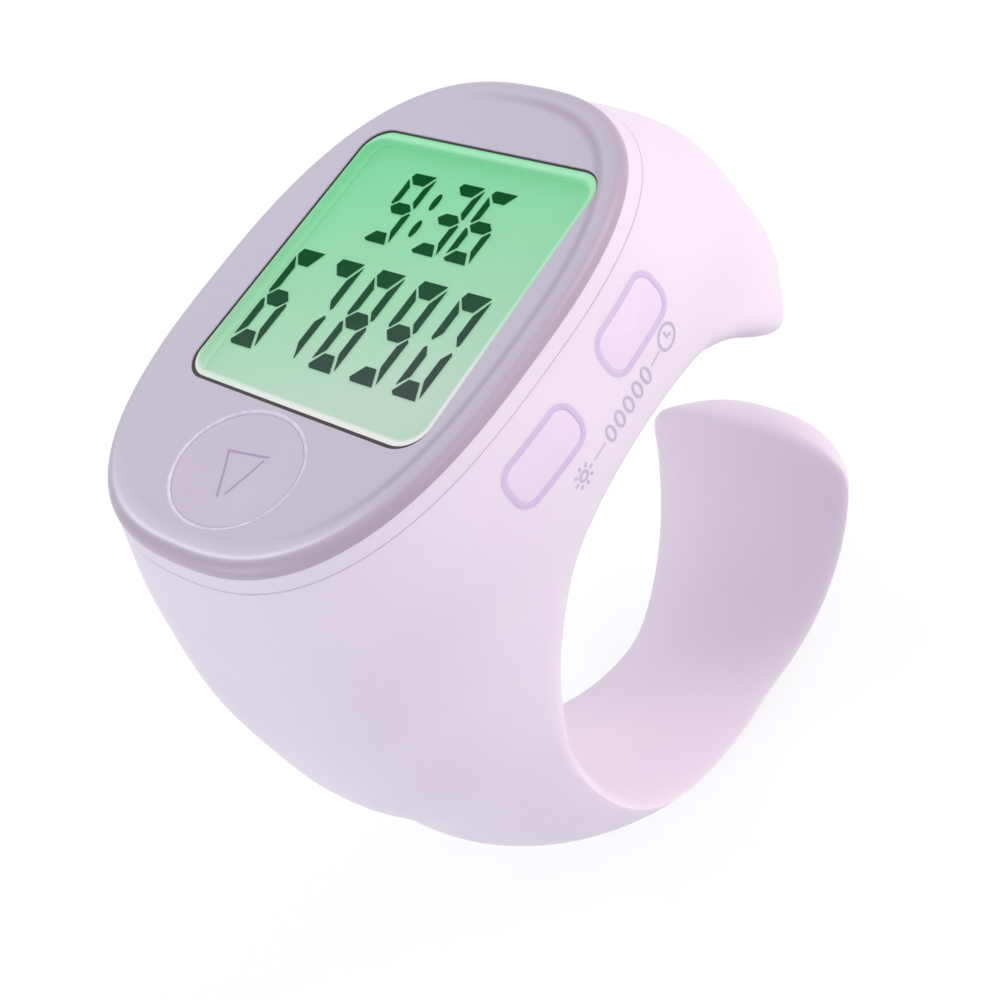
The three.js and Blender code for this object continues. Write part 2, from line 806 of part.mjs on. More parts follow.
// The button: an oval cap through plate and deck, a flange under the deck, and a post
// down to its switch. An outlined triangle is cut into its top.
function countButtonBody() {
  const { y, length, width } = countButton;
  const x = buttonX;
  const flangeTop = deckBottom - 0.05;
  const flangeBottom = flangeTop - flangeThickness;
  const cap = slab(ellipse(x, y, length, width), flangeBottom, insetTop - 0.03, 20);
  const flange = slab(
    ellipse(x, y, length + 2 * flangeOverhang, width + 2 * flangeOverhang),
    flangeBottom,
    flangeTop,
    20,
  );
  let button = cap.add(flange);
  button = button.subtract(box([countRight(), -20, flangeBottom - 1], [20, 20, flangeTop]));
  button = button.add(post(x, y, postRadius, countPlungerTop, flangeBottom + 0.2));
  const tri = (grow) => {
    const half = triangle.base / 2 + grow * 1.6;
    const back = x + triangle.height * 0.45 + grow;
    const front = x - triangle.height * 0.55 - grow * 2;
    return slab(
      polygon([
        [back, y + triangle.y - half],
        [back, y + triangle.y + half],
        [front, y + triangle.y],
      ]),
      insetTop - 0.03 - triangle.depth,
      insetTop + 1,
    );
  };
  return button.subtract(tri(0).subtract(tri(-triangle.line)));
}

const caseTop = boardTop + switchCase.height;
const countPlungerTop = caseTop + plungerOutside;

function countSwitchCase() {
  const half = switchCase.side / 2;
  const [x, y] = [buttonX, countButton.y];
  const body = box([x - half, y - half, boardTop], [x + half, y + half, caseTop]);
  return body.subtract(post(x, y, plungerRadius + boreGap, boardTop + switchCase.floor, caseTop + 1));
}

function countSwitchPlunger() {
  return post(buttonX, countButton.y, plungerRadius, caseTop - plungerInside, countPlungerTop);
}

// A cylinder along Y at the height of the side switches
function crossPost(x, radius, from, to) {
  const geometry = new THREE.CylinderGeometry(radius, radius, to - from, 14);
  geometry.translate(x, (from + to) / 2, boardTop + sideSwitch.plungerZ);
  return solid(geometry);
}

function sideSwitchCase(x) {
  const half = sideSwitch.x / 2;
  const back = caseFront + sideSwitch.y;
  const body = box([x - half, caseFront, boardTop], [x + half, back, boardTop + sideSwitch.z]);
  return body.subtract(crossPost(x, sidePlungerRadius + boreGap, caseFront - 1, back - sideSwitch.floor));
}

function sideSwitchPlunger(x) {
  return crossPost(x, sidePlungerRadius, keyBack, caseFront + plungerInside - 0.1);
}

// A key: its outer end follows the wall, and a flange inside keeps it from falling out.
function sideKey(place) {
  const bar = keyBar(place, 0, -30, keyBack).intersect(blank);
  const flange = keyBar(place, keyFlange.overhang, keySeat + fitGap, keyBack);
  return bar.add(flange);
}

// The door closes the cell's opening and carries on the hole's curve; its ends are cored.
function batteryDoor() {
  let door = blank.intersect(doorPrism(0));
  for (const side of [-1, 1]) {
    const from = side > 0 ? 2.2 : -doorLength / 2 + 0.7;
    const to = side > 0 ? doorLength / 2 - 0.7 : -2.2;
    const core = box([from, -doorWidth / 2 + 2.6, 0], [to, doorWidth / 2 - 2.6, doorTop + 1]);
    const arch = new THREE.CylinderGeometry(1, 1, 2 * faceWidth, 48);
    arch.scale(holeHalf + doorShell, 1, holeTop + doorShell);
    const kept = solid(arch);
    door = door.subtract(core.subtract(kept));
  }
  for (const [x, y] of doorScrews) {
    door = door.subtract(post(x, y, screw.shank + 0.12, 0, doorTop + 1, 12));
    door = door.subtract(post(x, y, screw.head + 0.15, 0, doorScrewSeat + screw.headHeight, 16));
  }
  return door;
}

// A screw with a cross cut in its head; up is 1 when its tip points up.
function screwBody(x, y, headBase, length, up) {
  const profile = [
    [0, -screw.headHeight],
    [screw.head * 0.8, -screw.headHeight],
    [screw.head, -screw.headHeight * 0.6],
    [screw.head, 0],
    [screw.shank, 0],
    [screw.shank, length - 0.3],
    [0, length],
  ].map(([r, h]) => new THREE.Vector2(r, h));
  const geometry = new THREE.LatheGeometry(profile, 12);
  geometry.rotateX(up > 0 ? Math.PI / 2 : -Math.PI / 2);
  geometry.translate(x, y, headBase);
  let body = solid(geometry);
  if (body.volume() < 0) throw new Error("the screw's profile runs the wrong way round");
  const arm = screw.head * 0.62;
  const outer = headBase - up * (screw.headHeight + 0.1);
  const inner = headBase - up * screw.headHeight * 0.45;
  const low = Math.min(outer, inner);
  const high = Math.max(outer, inner);
  body = body.subtract(box([x - arm, y - 0.1, low], [x + arm, y + 0.1, high]));
  return body.subtract(box([x - 0.1, y - arm, low], [x + 0.1, y + arm, high]));
}

function coinCell() {
  const radius = cellDiameter / 2;
  const profile = [
    [0, 0],
    [radius - 0.15, 0],
    [radius, 0.15],
    [radius, cellThickness - 0.45],
    [radius - 0.2, cellThickness - 0.25],
    [radius - 0.9, cellThickness - 0.25],
    [radius - 1.0, cellThickness],
    [0, cellThickness],
  ].map(([r, h]) => new THREE.Vector2(r, h));
  const geometry = new THREE.LatheGeometry(profile, 40);
  geometry.rotateX(Math.PI / 2);
  geometry.translate(0, 0, cellBottom);
  return solid(geometry);
}

// A spring strip bent from the board down to the top of the cell.
function negativeContact() {
  const t = strip.thickness;
  const top = boardBottom;
  const low = cellTop;
  const half = leaf.length / 2;
  const flat = leaf.flat;
  const profile = polygon([
    [half, top],
    [half, top - t],
    [half - flat, top - t],
    [-half + flat, low],
    [-half, low],
    [-half, low + t],
    [-half + flat, low + t],
    [half - flat, top],
  ]);
  const geometry = new THREE.ExtrudeGeometry(profile, { depth: strip.width, bevelEnabled: false });
  geometry.rotateX(Math.PI / 2);
  geometry.translate(0, strip.width / 2, 0);
  return solid(geometry);
}

// A bent strip that touches the rim of the cell and is soldered under the board.
function positiveContact() {
  const t = strip.thickness;
  const near = cellDiameter / 2;
  const half = strip.width / 2;
  const blade = box([-half, near, cellBottom + 0.3], [half, near + t, boardBottom]);
  return blade.add(box([-half, near, boardBottom - t], [half, near + 0.9, boardBottom]));
}

// Small boxes soldered on the board
function chip(x, y, size) {
  const low = [x - size.x / 2, y - size.y / 2, boardTop];
  return box(low, [low[0] + size.x, low[1] + size.y, boardTop + size.z]);
}

function lamp(y) {
  return chip(guideRight + fitGap + ledSize.x / 2, y, ledSize);
}

piece("ring_body", ringBody(), lavender, 0.45);
piece("head_frame", headFrame(), lavender, 0.45);
piece("face_plate", facePlate(), plateGrey, 0.4);
piece("display_window", displayWindow(), 0xb8e8c8, 0.05, 0, 0.35);
piece("lcd_front_glass", frontGlass(), 0xa8e0b8, 0.1, 0, 0.5);
piece("lcd_rear_glass", rearGlass(), 0x8fdcaa, 0.2, 0, 0.7);
piece("lcd_segments", segmentFilm(), 0x1f4d33, 0.5);
piece("light_guide", lightGuide(), 0xc8f5d5, 0.1, 0, 0.6);
piece("lcd_holder", displayHolder(), 0xf2f2f0, 0.6);
piece("elastomer_connector", connector(), 0x6a6a70, 0.8);
piece("circuit_board", circuitBoard(), 0x2f7d4f, 0.6);
piece("controller_chip", chip(windowX + chipPlace.x, windowY + chipPlace.y, chipSize), 0x1c1c1e, 0.5);
const crystal = chip(windowX + crystalPlace.x, windowY + crystalPlace.y, crystalSize);
piece("clock_crystal", crystal, 0xc9c9cc, 0.3, 0.9);
const besideSwitch = buttonX + switchCase.side / 2 + capacitorsByButton.gap;
const capacitors = [
  [windowX + capacitorPlaces.x, windowY + capacitorPlaces.first],
  [windowX + capacitorPlaces.x, windowY + capacitorPlaces.second],
  [besideSwitch, countButton.y + capacitorsByButton.y],
  [besideSwitch, countButton.y - capacitorsByButton.y],
];
capacitors.forEach(([x, y], i) => piece(`capacitor_${i + 1}`, chip(x, y, capacitorSize), 0xb89a6a, 0.6));
piece("backlight_led_1", lamp(windowY - ledSpacing / 2), 0xf4f4e8, 0.4);
piece("backlight_led_2", lamp(windowY + ledSpacing / 2), 0xf4f4e8, 0.4);
piece("count_button", countButtonBody(), 0xcdc0d4, 0.4);
piece("count_switch_case", countSwitchCase(), 0x2a2a2c, 0.5);
piece("count_switch_plunger", countSwitchPlunger(), 0xd8d8d8, 0.5);
for (const [name, place] of Object.entries(keyPlaces)) {
  piece(`${name}_key`, sideKey(place), 0xe9d9ec, 0.45);
  piece(`${name}_switch_case`, sideSwitchCase(place.x), 0x2a2a2c, 0.5);
  piece(`${name}_switch_plunger`, sideSwitchPlunger(place.x), 0xd8d8d8, 0.5);
}
piece("coin_cell", coinCell(), 0xcfd2d6, 0.25, 1);
piece("positive_contact", positiveContact(), 0xd9b85c, 0.3, 1);
piece("negative_contact", negativeContact(), 0xd9b85c, 0.3, 1);
piece("battery_door", batteryDoor(), lavender, 0.45);
doorScrews.forEach(([x, y], i) => {
  const under = doorScrewSeat + screw.headHeight;
  const length = doorTop + screw.bite - under;
  piece(`door_screw_${i + 1}`, screwBody(x, y, under, length, 1), 0xa9acb0, 0.3, 1);
});
boardScrews.forEach(([x, y], i) => {
  const length = boardThickness + screw.bite;
  piece(`board_screw_${i + 1}`, screwBody(x, y, boardTop, length, -1), 0xa9acb0, 0.3, 1);
});

export default root;
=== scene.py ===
"""An electronic tally counter worn on the finger.

An open C-shaped ring swells into a head with a display, a count button and two side keys.
Lengths are in millimetres until a mesh is made, and in metres in the scene. The origin is
the centre of the finger hole, Y runs along the finger, Z points out of the face, and X runs
along the face from the count button to the nose.
"""

import math

import bpy
import numpy as np
from mathutils import Matrix, Vector


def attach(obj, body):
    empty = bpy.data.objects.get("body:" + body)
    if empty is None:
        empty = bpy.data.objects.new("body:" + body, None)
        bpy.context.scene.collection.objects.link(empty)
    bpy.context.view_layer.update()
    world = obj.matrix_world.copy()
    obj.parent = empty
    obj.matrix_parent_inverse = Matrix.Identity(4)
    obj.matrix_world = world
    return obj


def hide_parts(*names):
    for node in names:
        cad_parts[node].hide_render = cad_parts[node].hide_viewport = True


MM = 0.001

# Camera of the photo: its place, where it looks (from +X towards +Y, and down), its roll and its lens
CAMERA_PLACE = (-30.784, -58.167, 68.218)
VIEW_HEADING = 64.36
VIEW_DIP = 43.684
VIEW_ROLL = -35.797
FOCAL_LENGTH = 78.64
SENSOR_WIDTH = 36

# Finger hole, and the levels stacked above it
HOLE_HALF = 9.5
HOLE_TOP = 10.83
DOOR_TOP = 11.6
FLOOR_TOP = 12.6
CELL_TOP = 13.2
DECK_BOTTOM = 17.9
DECK_TOP = 18.5
PLATE_BOTTOM = 18.25
FACE_TOP = 18.87
INSET_TOP = 18.82
SEAM = 17.6
SKIRT_BOTTOM = 17.15
ABOVE = FACE_TOP + 3

# Face plate
FACE_SHIFT = -2.915
FACE_LENGTH = 23.51
FACE_WIDTH = 16.9
FACE_EXPONENT = 2.61
RIM_HEIGHT = 0.62
RIM_WIDTH = 0.72
RIM_POWER = 2.7
RIM_BORDER = 0.06
PLATE_LIP = 0.8

# Outer form of head and band, level by level
LEVELS = [0, HOLE_TOP * 0.44, HOLE_TOP * 0.88, (HOLE_TOP + SEAM) / 2, PLATE_BOTTOM]
BUTTON_ENDS = [-14.8, -16.35, -16.65, -15.85, FACE_SHIFT - FACE_LENGTH / 2]
NOSE_ENDS = [12.4, 16.2, 13.3, 11.7, FACE_SHIFT + FACE_LENGTH / 2]
HALF_WIDTHS = [7.55, 8.25, 8.35, 9.2, FACE_WIDTH / 2]
SOLE_DEPTH = 12.53
SOLE_SHIFT = 2.07
SOLE_LENGTH_POWER = 1.68
SOLE_WIDTH_POWER = 2.32
SOLE_CORNER_POWER = 3.0
EDGE_ROUNDING = 3.05
NOSE_ANGLE = math.radians(-67.1)
NOSE_ROUNDING = 5.9
TIP_ANGLE = math.radians(252.0)
TIP_ROUNDING = 2.3
END_POWER = 2.8
CORNER_TURN_TOP = 5
CORNER_TURN_HEIGHT = 13
RAY_LIMIT = 45.0
SECTION_LIMIT = 30.0
BEYOND = 40

# Shell
WALL = 1.2
SHELL_GAP = 0.15
FIT_GAP = 0.1
SKIRT_THICKNESS = 0.35
GROOVE = 0.06
OVERLAP = 0.1

# Display window
WINDOW_LENGTH = 13.0
WINDOW_WIDTH = 12.45
WINDOW_X = -1.26
WINDOW_Y = -0.25
WINDOW_CORNER = 1.2
WINDOW_LEDGE = 0.3
RIM_AT_NOSE = 0.45
RIM_AT_BUTTON = 0.42
RIM_AT_KEYS = 0.2
RIM_AT_BACK = 0.12
# Width at the button's side of the dark ring of painted shade in the window's gap
GAP_SHADE_AT_BUTTON = 0.17
WINDOW_GAP = 0.06
WINDOW_SLOPE = 0.07
LENS_CORNER = 0.9
LENS_BOTTOM = DECK_TOP + 0.03
WINDOW_DRAWN_WIDE = 0.088
WINDOW_DRAWN_LONG = 0.04

# Figures on the display: height, width, pitch, stroke, bottom edge and left edge of each row
COUNT_ROW = {"text": "67890", "height": 4.95, "digit": 1.52, "pitch": 2.26, "stroke": 0.44}
CLOCK_ROW = {"text": "9:36", "height": 3.6, "digit": 1.42, "pitch": 1.72, "stroke": 0.38}
COUNT_BOTTOM = -5.76
CLOCK_BOTTOM = 0.19
COUNT_LEFT = 5.405
CLOCK_LEFT = 2.855
COLON_PITCH = 0.9
COLON_SHIFT = 0.4
COLON_HEIGHTS = (0.3, 0.68)
COLON_DOT = (0.42, 0.15)
FIGURE_BOTTOM = 18.38
FIGURE_TOP = 18.41
FIGURE_SHRINK = 0.04

# Count button
BUTTON_X = -10.72
BUTTON_Y = -0.15
BUTTON_LENGTH = 5.1
BUTTON_WIDTH = 6.0
BUTTON_SIDES = 160
BUTTON_DISH = 0.1
BUTTON_DISH_RADIUS = 0.94
BUTTON_EDGE_DROP = 0.06
BUTTON_EDGE_RADIUS = 0.97
COLLAR_WIDTH = 0.06
FLANGE_OVERHANG = 0.35
FLANGE_THICKNESS = 0.4
FLANGE_CLEARANCE = 0.05
FLANGE_RIGHT = -7.81
POST_RADIUS = 1.0
POST_BOTTOM = 16.4

# Side keys
KEY_HALF_X = 1.9
KEY_HALF_Z = 0.925
KEY_CORNER = 0.7
KEY_PLACES = {"clock_key": (1.15, 15.9), "set_key": (-4.85, 15.75)}
KEY_SHIFTS = {"clock_key": (0.08, -0.12), "set_key": (0.08, -0.2)}
KEY_INSET = 0.08
KEY_SEAT = -7.642
KEY_BACK = -7.192
KEY_FLANGE = 0.3
KEY_ROOM_START = -30
KEY_EDGE = 0.08
KEY_CROWN = 0.03
KEY_CROWN_INSET = 0.6
# Width of a key's gap, which a lavender lip of painted shade fills
KEY_GAP_WIDTH = 0.2

# Printed marks: how deep they start, how thick and how wide they are, and the ends of the wall's line
MARK_DEPTH = 0.03
WALL_MARK_THICKNESS = 0.04
BUTTON_MARK_THICKNESS = 0.042
BUTTON_STROKE = 0.075
SIGN_STROKE = 0.12
LINE_STROKE = 0.07
LABEL_START = (-3.97, 13.42)
LABEL_END = (2.23, 14.08)

# Battery door and screws
DOOR_HALF_X = 7.1
DOOR_HALF_Y = 7.0
DOOR_CORNER = 1.6
DOOR_GAP = 0.12
CELL_HOLE = 6.45
DOOR_SCREWS = [(5.75, -5.65), (-5.75, 5.65)]
SCREW_SEAT = 9.097
SCREW_HEAD_HEIGHT = 0.5
SCREW_HEAD_ROOM = 0.95
SCREW_SHANK_ROOM = 0.57

# Edges sharper than this stay sharp, and the lamps face a place given in metres
SHARP_ANGLE = math.radians(32.0)
LAMP_TARGET = (0, 0, 0.006)

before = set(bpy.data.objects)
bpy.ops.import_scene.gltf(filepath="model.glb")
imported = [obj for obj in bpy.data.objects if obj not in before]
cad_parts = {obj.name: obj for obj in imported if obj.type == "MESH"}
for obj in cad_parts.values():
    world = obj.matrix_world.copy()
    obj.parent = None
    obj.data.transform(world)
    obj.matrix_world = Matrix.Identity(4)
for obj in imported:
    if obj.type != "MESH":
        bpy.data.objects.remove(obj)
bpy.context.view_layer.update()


def added(name, data):
    """A new object of the scene."""
    made = bpy.data.objects.new(name, data)
    bpy.context.scene.collection.objects.link(made)
    return made


def camera_at_photo():
    """The camera: it starts looking straight down, is rolled, tipped up, and turned to its heading."""
    data = bpy.data.cameras.new("camera")
    data.sensor_width = SENSOR_WIDTH
    data.lens = FOCAL_LENGTH
    data.clip_start = 0.005
    data.clip_end = 20
    camera = added("camera", data)
    placed = Matrix.Translation(np.array(CAMERA_PLACE) * MM)
    for angle, axis in ((VIEW_HEADING - 90, "Z"), (90 - VIEW_DIP, "X"), (VIEW_ROLL, "Z")):
        placed = placed @ Matrix.Rotation(math.radians(angle), 4, axis)
    camera.matrix_world = placed
    bpy.context.scene.camera = camera


camera_at_photo()


# Outer form


def smooth_through(places, values, first_slope):
    """Cubic pieces through the points; an inner point's slope is the harmonic mean of its two chords."""
    places = np.array(places, float)
    values = np.array(values, float)
    chords = np.diff(values) / np.diff(places)
    before, after = chords[:-1], chords[1:]
    product = before * after
    total = np.where(np.abs(before + after) < 1e-12, 1, before + after)
    inner = np.where(product > 0, 2 * product / total, 0)
    slopes = np.concatenate([[first_slope], inner, chords[-1:]])

    def curve(place):
        i = np.clip(np.searchsorted(places, place, side="right") - 1, 0, len(places) - 2)
        step = places[i + 1] - places[i]
        t = (place - places[i]) / step
        rise = t * t * (3 - 2 * t)
        swing = slopes[i] * t * (1 - t) ** 2 - slopes[i + 1] * t * t * (1 - t)
        return values[i] * (1 - rise) + values[i + 1] * rise + step * swing

    return curve


button_end = smooth_through(LEVELS, BUTTON_ENDS, -SOLE_SHIFT / SOLE_DEPTH)
nose_end = smooth_through(LEVELS, NOSE_ENDS, -SOLE_SHIFT / SOLE_DEPTH)
half_width = smooth_through(LEVELS, HALF_WIDTHS, 0.0)


def outline_at(z):
    """Centre, half length, half width and power of the oval |x|^p + |y|^p = 1 at height z."""
    level = np.clip(z, 0, PLATE_BOTTOM)
    left = button_end(level)
    right = nose_end(level)
    down = np.clip(-np.asarray(z, float) / SOLE_DEPTH, 0, 0.9999)
    shorten = (1 - down**SOLE_LENGTH_POWER) ** (1 / SOLE_LENGTH_POWER)
    narrow = (1 - down**SOLE_WIDTH_POWER) ** (1 / SOLE_WIDTH_POWER)
    turn = np.clip((CORNER_TURN_TOP - np.asarray(z, float)) / CORNER_TURN_HEIGHT, 0, 1)
    turn = turn * turn * (3 - 2 * turn)
    power = FACE_EXPONENT + (SOLE_CORNER_POWER - FACE_EXPONENT) * turn
    centre = (left + right) / 2 + SOLE_SHIFT * down
    return centre, (right - left) / 2 * shorten, half_width(level) * narrow, power


def inside_outer_form(x, y, z):
    centre, length, width, power = outline_at(z)
    within = (np.abs(x - centre) / length) ** power + (np.abs(y) / width) ** power < 1
    return within & (z > -SOLE_DEPTH) & (z < ABOVE)


def reach(test, low, high):
    """The largest distance for which the test holds, found by halving, for a whole array at once."""
    for _ in range(30):
        middle = (low + high) / 2
        held = test(middle)
        low = np.where(held, middle, low)
        high = np.where(held, high, middle)
    return low


def rounded_lesser(a, b, radius):
    """The lesser of two lengths, with the corner between them rounded by a parabola."""
    t = np.clip(0.5 + 0.5 * (b - a) / radius, 0, 1)
    return b * (1 - t) + a * t - radius * t * (1 - t)


def wall_half_width(x, z):
    """How far the outer form's side wall stands from the middle plane at x and z."""
    centre, length, width, power = outline_at(z)
    across = np.clip(1 - (np.abs(x - centre) / length) ** power, 0, 1)
    return width * across ** (1 / power)


def full_turn(sides):
    """Angles evenly all the way round."""
    return np.arange(sides) / sides * 2 * math.pi


def unit(vectors):
    return vectors / np.linalg.norm(vectors, axis=1, keepdims=True)


def left_of(vectors):
    """Flat vectors turned a quarter anticlockwise."""
    return np.stack([-vectors[:, 1], vectors[:, 0]], -1)


def anticlockwise(flat):
    """An outline walked anticlockwise, told by its signed area."""
    area = np.sum(flat[:, 0] * np.roll(flat[:, 1], -1) - np.roll(flat[:, 0], -1) * flat[:, 1])
    return flat if area > 0 else flat[::-1]


# Meshes from grids of points


def mesh_object(name, points, faces):
    """A mesh from points in millimetres; faces are turned to point outwards by the signed volume."""
    points = np.asarray(points, float).reshape(-1, 3)
    groups = [np.asarray(group) for group in faces if len(group)]
    volume = 0.0
    for group in groups:
        first = points[group[:, 0]]
        for k in range(1, group.shape[1] - 1):
            across = np.cross(points[group[:, k]], points[group[:, k + 1]])
            volume += np.einsum("ij,ij->i", first, across).sum()
    if volume < 0:
        groups = [group[:, ::-1] for group in groups]
    mesh = bpy.data.meshes.new(name)
    mesh.from_pydata((points * MM).tolist(), [], [face for group in groups for face in group.tolist()])
    mesh.update()
    return added(name, mesh)


def quads_between(count, sides, hoop=False):
    """Four-sided faces between neighbouring rings of points; a hoop joins the last ring to the first."""
    row = np.arange(count if hoop else count - 1)[:, None]
    following = (row + 1) % count * sides
    row = row * sides
    here = np.arange(sides)[None, :]
    after = (here + 1) % sides
    return np.stack([row + here, row + after, following + after, following + here], -1).reshape(-1, 4)


def loft(name, rings, ends=("flat", "flat")):
    """Rings of points (ring, side, xyz) joined side by side. Each end is closed flat, or by a point."""
    rings = np.asarray(rings, float)
    count, sides = rings.shape[:2]
    points = rings.reshape(-1, 3)
    faces = [quads_between(count, sides)]
    for end, ring, turned in ((ends[0], 0, True), (ends[1], count - 1, False)):
        side = np.arange(sides) + ring * sides
        if end == "flat":
            faces.append((side[::-1] if turned else side)[None, :])
        else:
            points = np.vstack([points, rings[ring].mean(axis=0)])
            tip = np.full(sides, len(points) - 1)
            nxt = np.roll(side, -1)
            faces.append(np.stack([nxt, side, tip] if turned else [side, nxt, tip], -1))
    return mesh_object(name, points, faces)


def ring_loft(name, rings):
    """Rings joined side by side, and the last one to the first, so that the body is a closed hoop."""
    rings = np.asarray(rings, float)
    return mesh_object(name, rings, [quads_between(*rings.shape[:2], hoop=True)])


def carve(piece, cutters, how="DIFFERENCE"):
    """Cuts the cutters out of a piece, or combines them as named, and keeps only the mesh that results."""
    for cutter in cutters:
        cut = piece.modifiers.new("cut", "BOOLEAN")
        cut.operation = how
        cut.solver = "MANIFOLD"
        cut.object = cutter
    shaped = piece.evaluated_get(bpy.context.evaluated_depsgraph_get())
    mesh = bpy.data.meshes.new_from_object(shaped)
    piece.modifiers.clear()
    old = piece.data
    piece.data = mesh
    bpy.data.meshes.remove(old)
    for cutter in cutters:
        bpy.data.meshes.remove(cutter.data)
    return piece


def superellipse(centre, length, width, power, sides):
    """Points x = centre + length cos^(2/p), y = width sin^(2/p), with their signs kept."""
    turn = full_turn(sides)
    c, s = np.cos(turn), np.sin(turn)
    x = centre + length * np.sign(c) * np.abs(c) ** (2 / power)
    y = width * np.sign(s) * np.abs(s) ** (2 / power)
    return np.stack([x, y], -1)


def oval_rings(rows, z_of_outline=None, sides=240):
    """Rings of the outer form's oval by inset and height; z_of_outline gives them all one outline."""
    rings = []
    for inset, z in rows:
        level = z if z_of_outline is None else z_of_outline
        centre, length, width, power = outline_at(level)
        flat = superellipse(centre, length - inset, width - inset, power, sides)
        rings.append(np.column_stack([flat, np.full(sides, z)]))
    return np.array(rings)


def rounded_rectangle(half_x, half_y, corner):
    """A rectangle whose corners are quarter circles, walked the same way round for every size."""
    corner = max(corner, 1e-4)
    turn = np.linspace(0, math.pi / 2, 12)
    side_shares = np.linspace(0, 1, 10)[1:-1, None]
    arcs = []
    for quarter, signs in enumerate(((1, 1), (-1, 1), (-1, -1), (1, -1))):
        angle = turn + quarter * math.pi / 2
        middle = np.array(signs) * (np.array([half_x, half_y]) - corner)
        arcs.append(middle + corner * np.stack([np.cos(angle), np.sin(angle)], -1))
    walked = []
    for arc, following in zip(arcs, arcs[1:] + arcs[:1]):
        walked += [arc, arc[-1] + (following[0] - arc[-1]) * side_shares]
    return np.vstack(walked)


def ellipse(half_x, half_y, sides=96):
    turn = full_turn(sides)
    return np.stack([half_x * np.cos(turn), half_y * np.sin(turn)], -1)


def key_rectangle(grow):
    """A side key's outline about its own middle, grown by one amount."""
    return rounded_rectangle(KEY_HALF_X + grow, KEY_HALF_Z + grow, KEY_CORNER + grow)


def window_rectangle(inset):
    """The window's plain outline about its own middle, taken in by one amount."""
    return rounded_rectangle(WINDOW_LENGTH / 2 - inset, WINDOW_WIDTH / 2 - inset, WINDOW_CORNER - inset)


def button_oval(grow, sides=96):
    """The count button's outline about its own middle, grown by one amount."""
    return ellipse(BUTTON_LENGTH / 2 + grow, BUTTON_WIDTH / 2 + grow, sides)


def level_ring(flat, z, x=0.0, y=0.0):
    """A flat outline set level at height z."""
    return np.column_stack([flat[:, 0] + x, flat[:, 1] + y, np.full(len(flat), z)])


def upright_ring(flat, y):
    """An outline in X and Z, set at y."""
    return np.column_stack([flat[:, 0], np.broadcast_to(y, len(flat)), flat[:, 1]])


def on_wall(flat, depth):
    """An outline in X and Z, laid on the keys' side wall and sunk in by a depth."""
    return upright_ring(flat, -(wall_half_width(flat[:, 0], flat[:, 1]) - depth))


def prism(name, flat, low, high, x=0.0, y=0.0):
    """A flat outline carried straight up from one height to another."""
    return loft(name, [level_ring(flat, low, x, y), level_ring(flat, high, x, y)])


def block(name, low, high):
    flat = np.array([[low[0], low[1]], [high[0], low[1]], [high[0], high[1]], [low[0], high[1]]], float)
    return prism(name, flat, low[2], high[2])


# Ring


def ring_rings(stations=230, sides=144):
    """Sections on rays from the hole's centre: the hole bounds each inside, the outer form outside,
    the lesser of the two is rounded, and the sections shrink to a point at nose and tip."""

    def ray(angle):
        x = -HOLE_HALF * np.sin(angle)
        z = HOLE_TOP * np.cos(angle)
        inner = np.hypot(x, z)
        dx, dz = x / inner, z / inner
        limit = np.full_like(inner, RAY_LIMIT)
        outer = reach(lambda r: inside_outer_form(r * dx, 0 * r, r * dz), inner, limit)
        return dx, dz, inner, outer

    fine_steps = 1600
    share = np.arange(fine_steps + 1) / fine_steps
    dx, dz, inner, outer = ray(NOSE_ANGLE + (TIP_ANGLE - NOSE_ANGLE) * share)
    centre = (inner + outer) / 2

    def travelled(radius):
        steps = np.hypot(np.diff(radius * dx), np.diff(radius * dz))
        return np.concatenate([[0], np.cumsum(steps)])

    middles = travelled(centre)
    outsides = travelled(outer)
    whole = middles[-1]
    ends = (1 - np.cos(np.linspace(0.06, math.pi / 2, 30)[:-1])) ** 1.15
    first = np.interp(NOSE_ROUNDING, middles, outsides)
    final = np.interp(whole - TIP_ROUNDING, middles, outsides)
    between = np.interp(np.linspace(first, final, stations), outsides, middles)
    stops = np.concatenate([ends * NOSE_ROUNDING, between, (whole - ends * TIP_ROUNDING)[::-1]])
    angle = NOSE_ANGLE + (TIP_ANGLE - NOSE_ANGLE) * np.interp(stops, middles, share)
    dx, dz, inner, outer = ray(angle)
    centre = (inner + outer) / 2

    def swell(s):
        t = np.clip(s, 0, 1)
        return (1 - (1 - t) ** END_POWER) ** (1 / END_POWER)

    shrink = swell(stops / NOSE_ROUNDING) * swell((whole - stops) / TIP_ROUNDING)
    part = full_turn(sides)
    half = outline_at(centre * dz)[2]
    turn = np.arctan2(half[:, None] * np.sin(part), (centre - inner)[:, None] * np.cos(part))
    c, s = np.cos(turn), np.sin(turn)
    to_hole = np.where(c < -1e-3, (inner - centre)[:, None] / np.where(c < -1e-3, c, -1), 99)

    def at(d):
        r = centre[:, None] + d * c
        return r * dx[:, None], d * s, r * dz[:, None]

    out = reach(lambda d: inside_outer_form(*at(d)), np.zeros_like(c), np.full_like(c, SECTION_LIMIT))
    return np.stack(at(rounded_lesser(to_hole, out, EDGE_ROUNDING) * shrink[:, None]), -1)


RING = ring_rings()


def ring_blank(name):
    return loft(name, RING, ends=("point", "point"))


def cavity():
    """The hollow of the head: the outer form taken in by the wall, from the floor up."""
    rows = [(WALL, z) for z in np.linspace(FLOOR_TOP, SEAM + 0.5, 9)]
    return loft("cavity", oval_rings(rows, sides=120))


def key_bar(place, grow, low, high):
    """A side key's outline at its place on the wall, carried along Y."""
    flat = key_rectangle(grow) + np.array(place)
    return loft("key_room", [upright_ring(flat, low), upright_ring(flat, high)])


def door_prism(grow):
    flat = rounded_rectangle(DOOR_HALF_X + grow, DOOR_HALF_Y + grow, DOOR_CORNER + grow)
    return prism("door_room", flat, 0, DOOR_TOP)


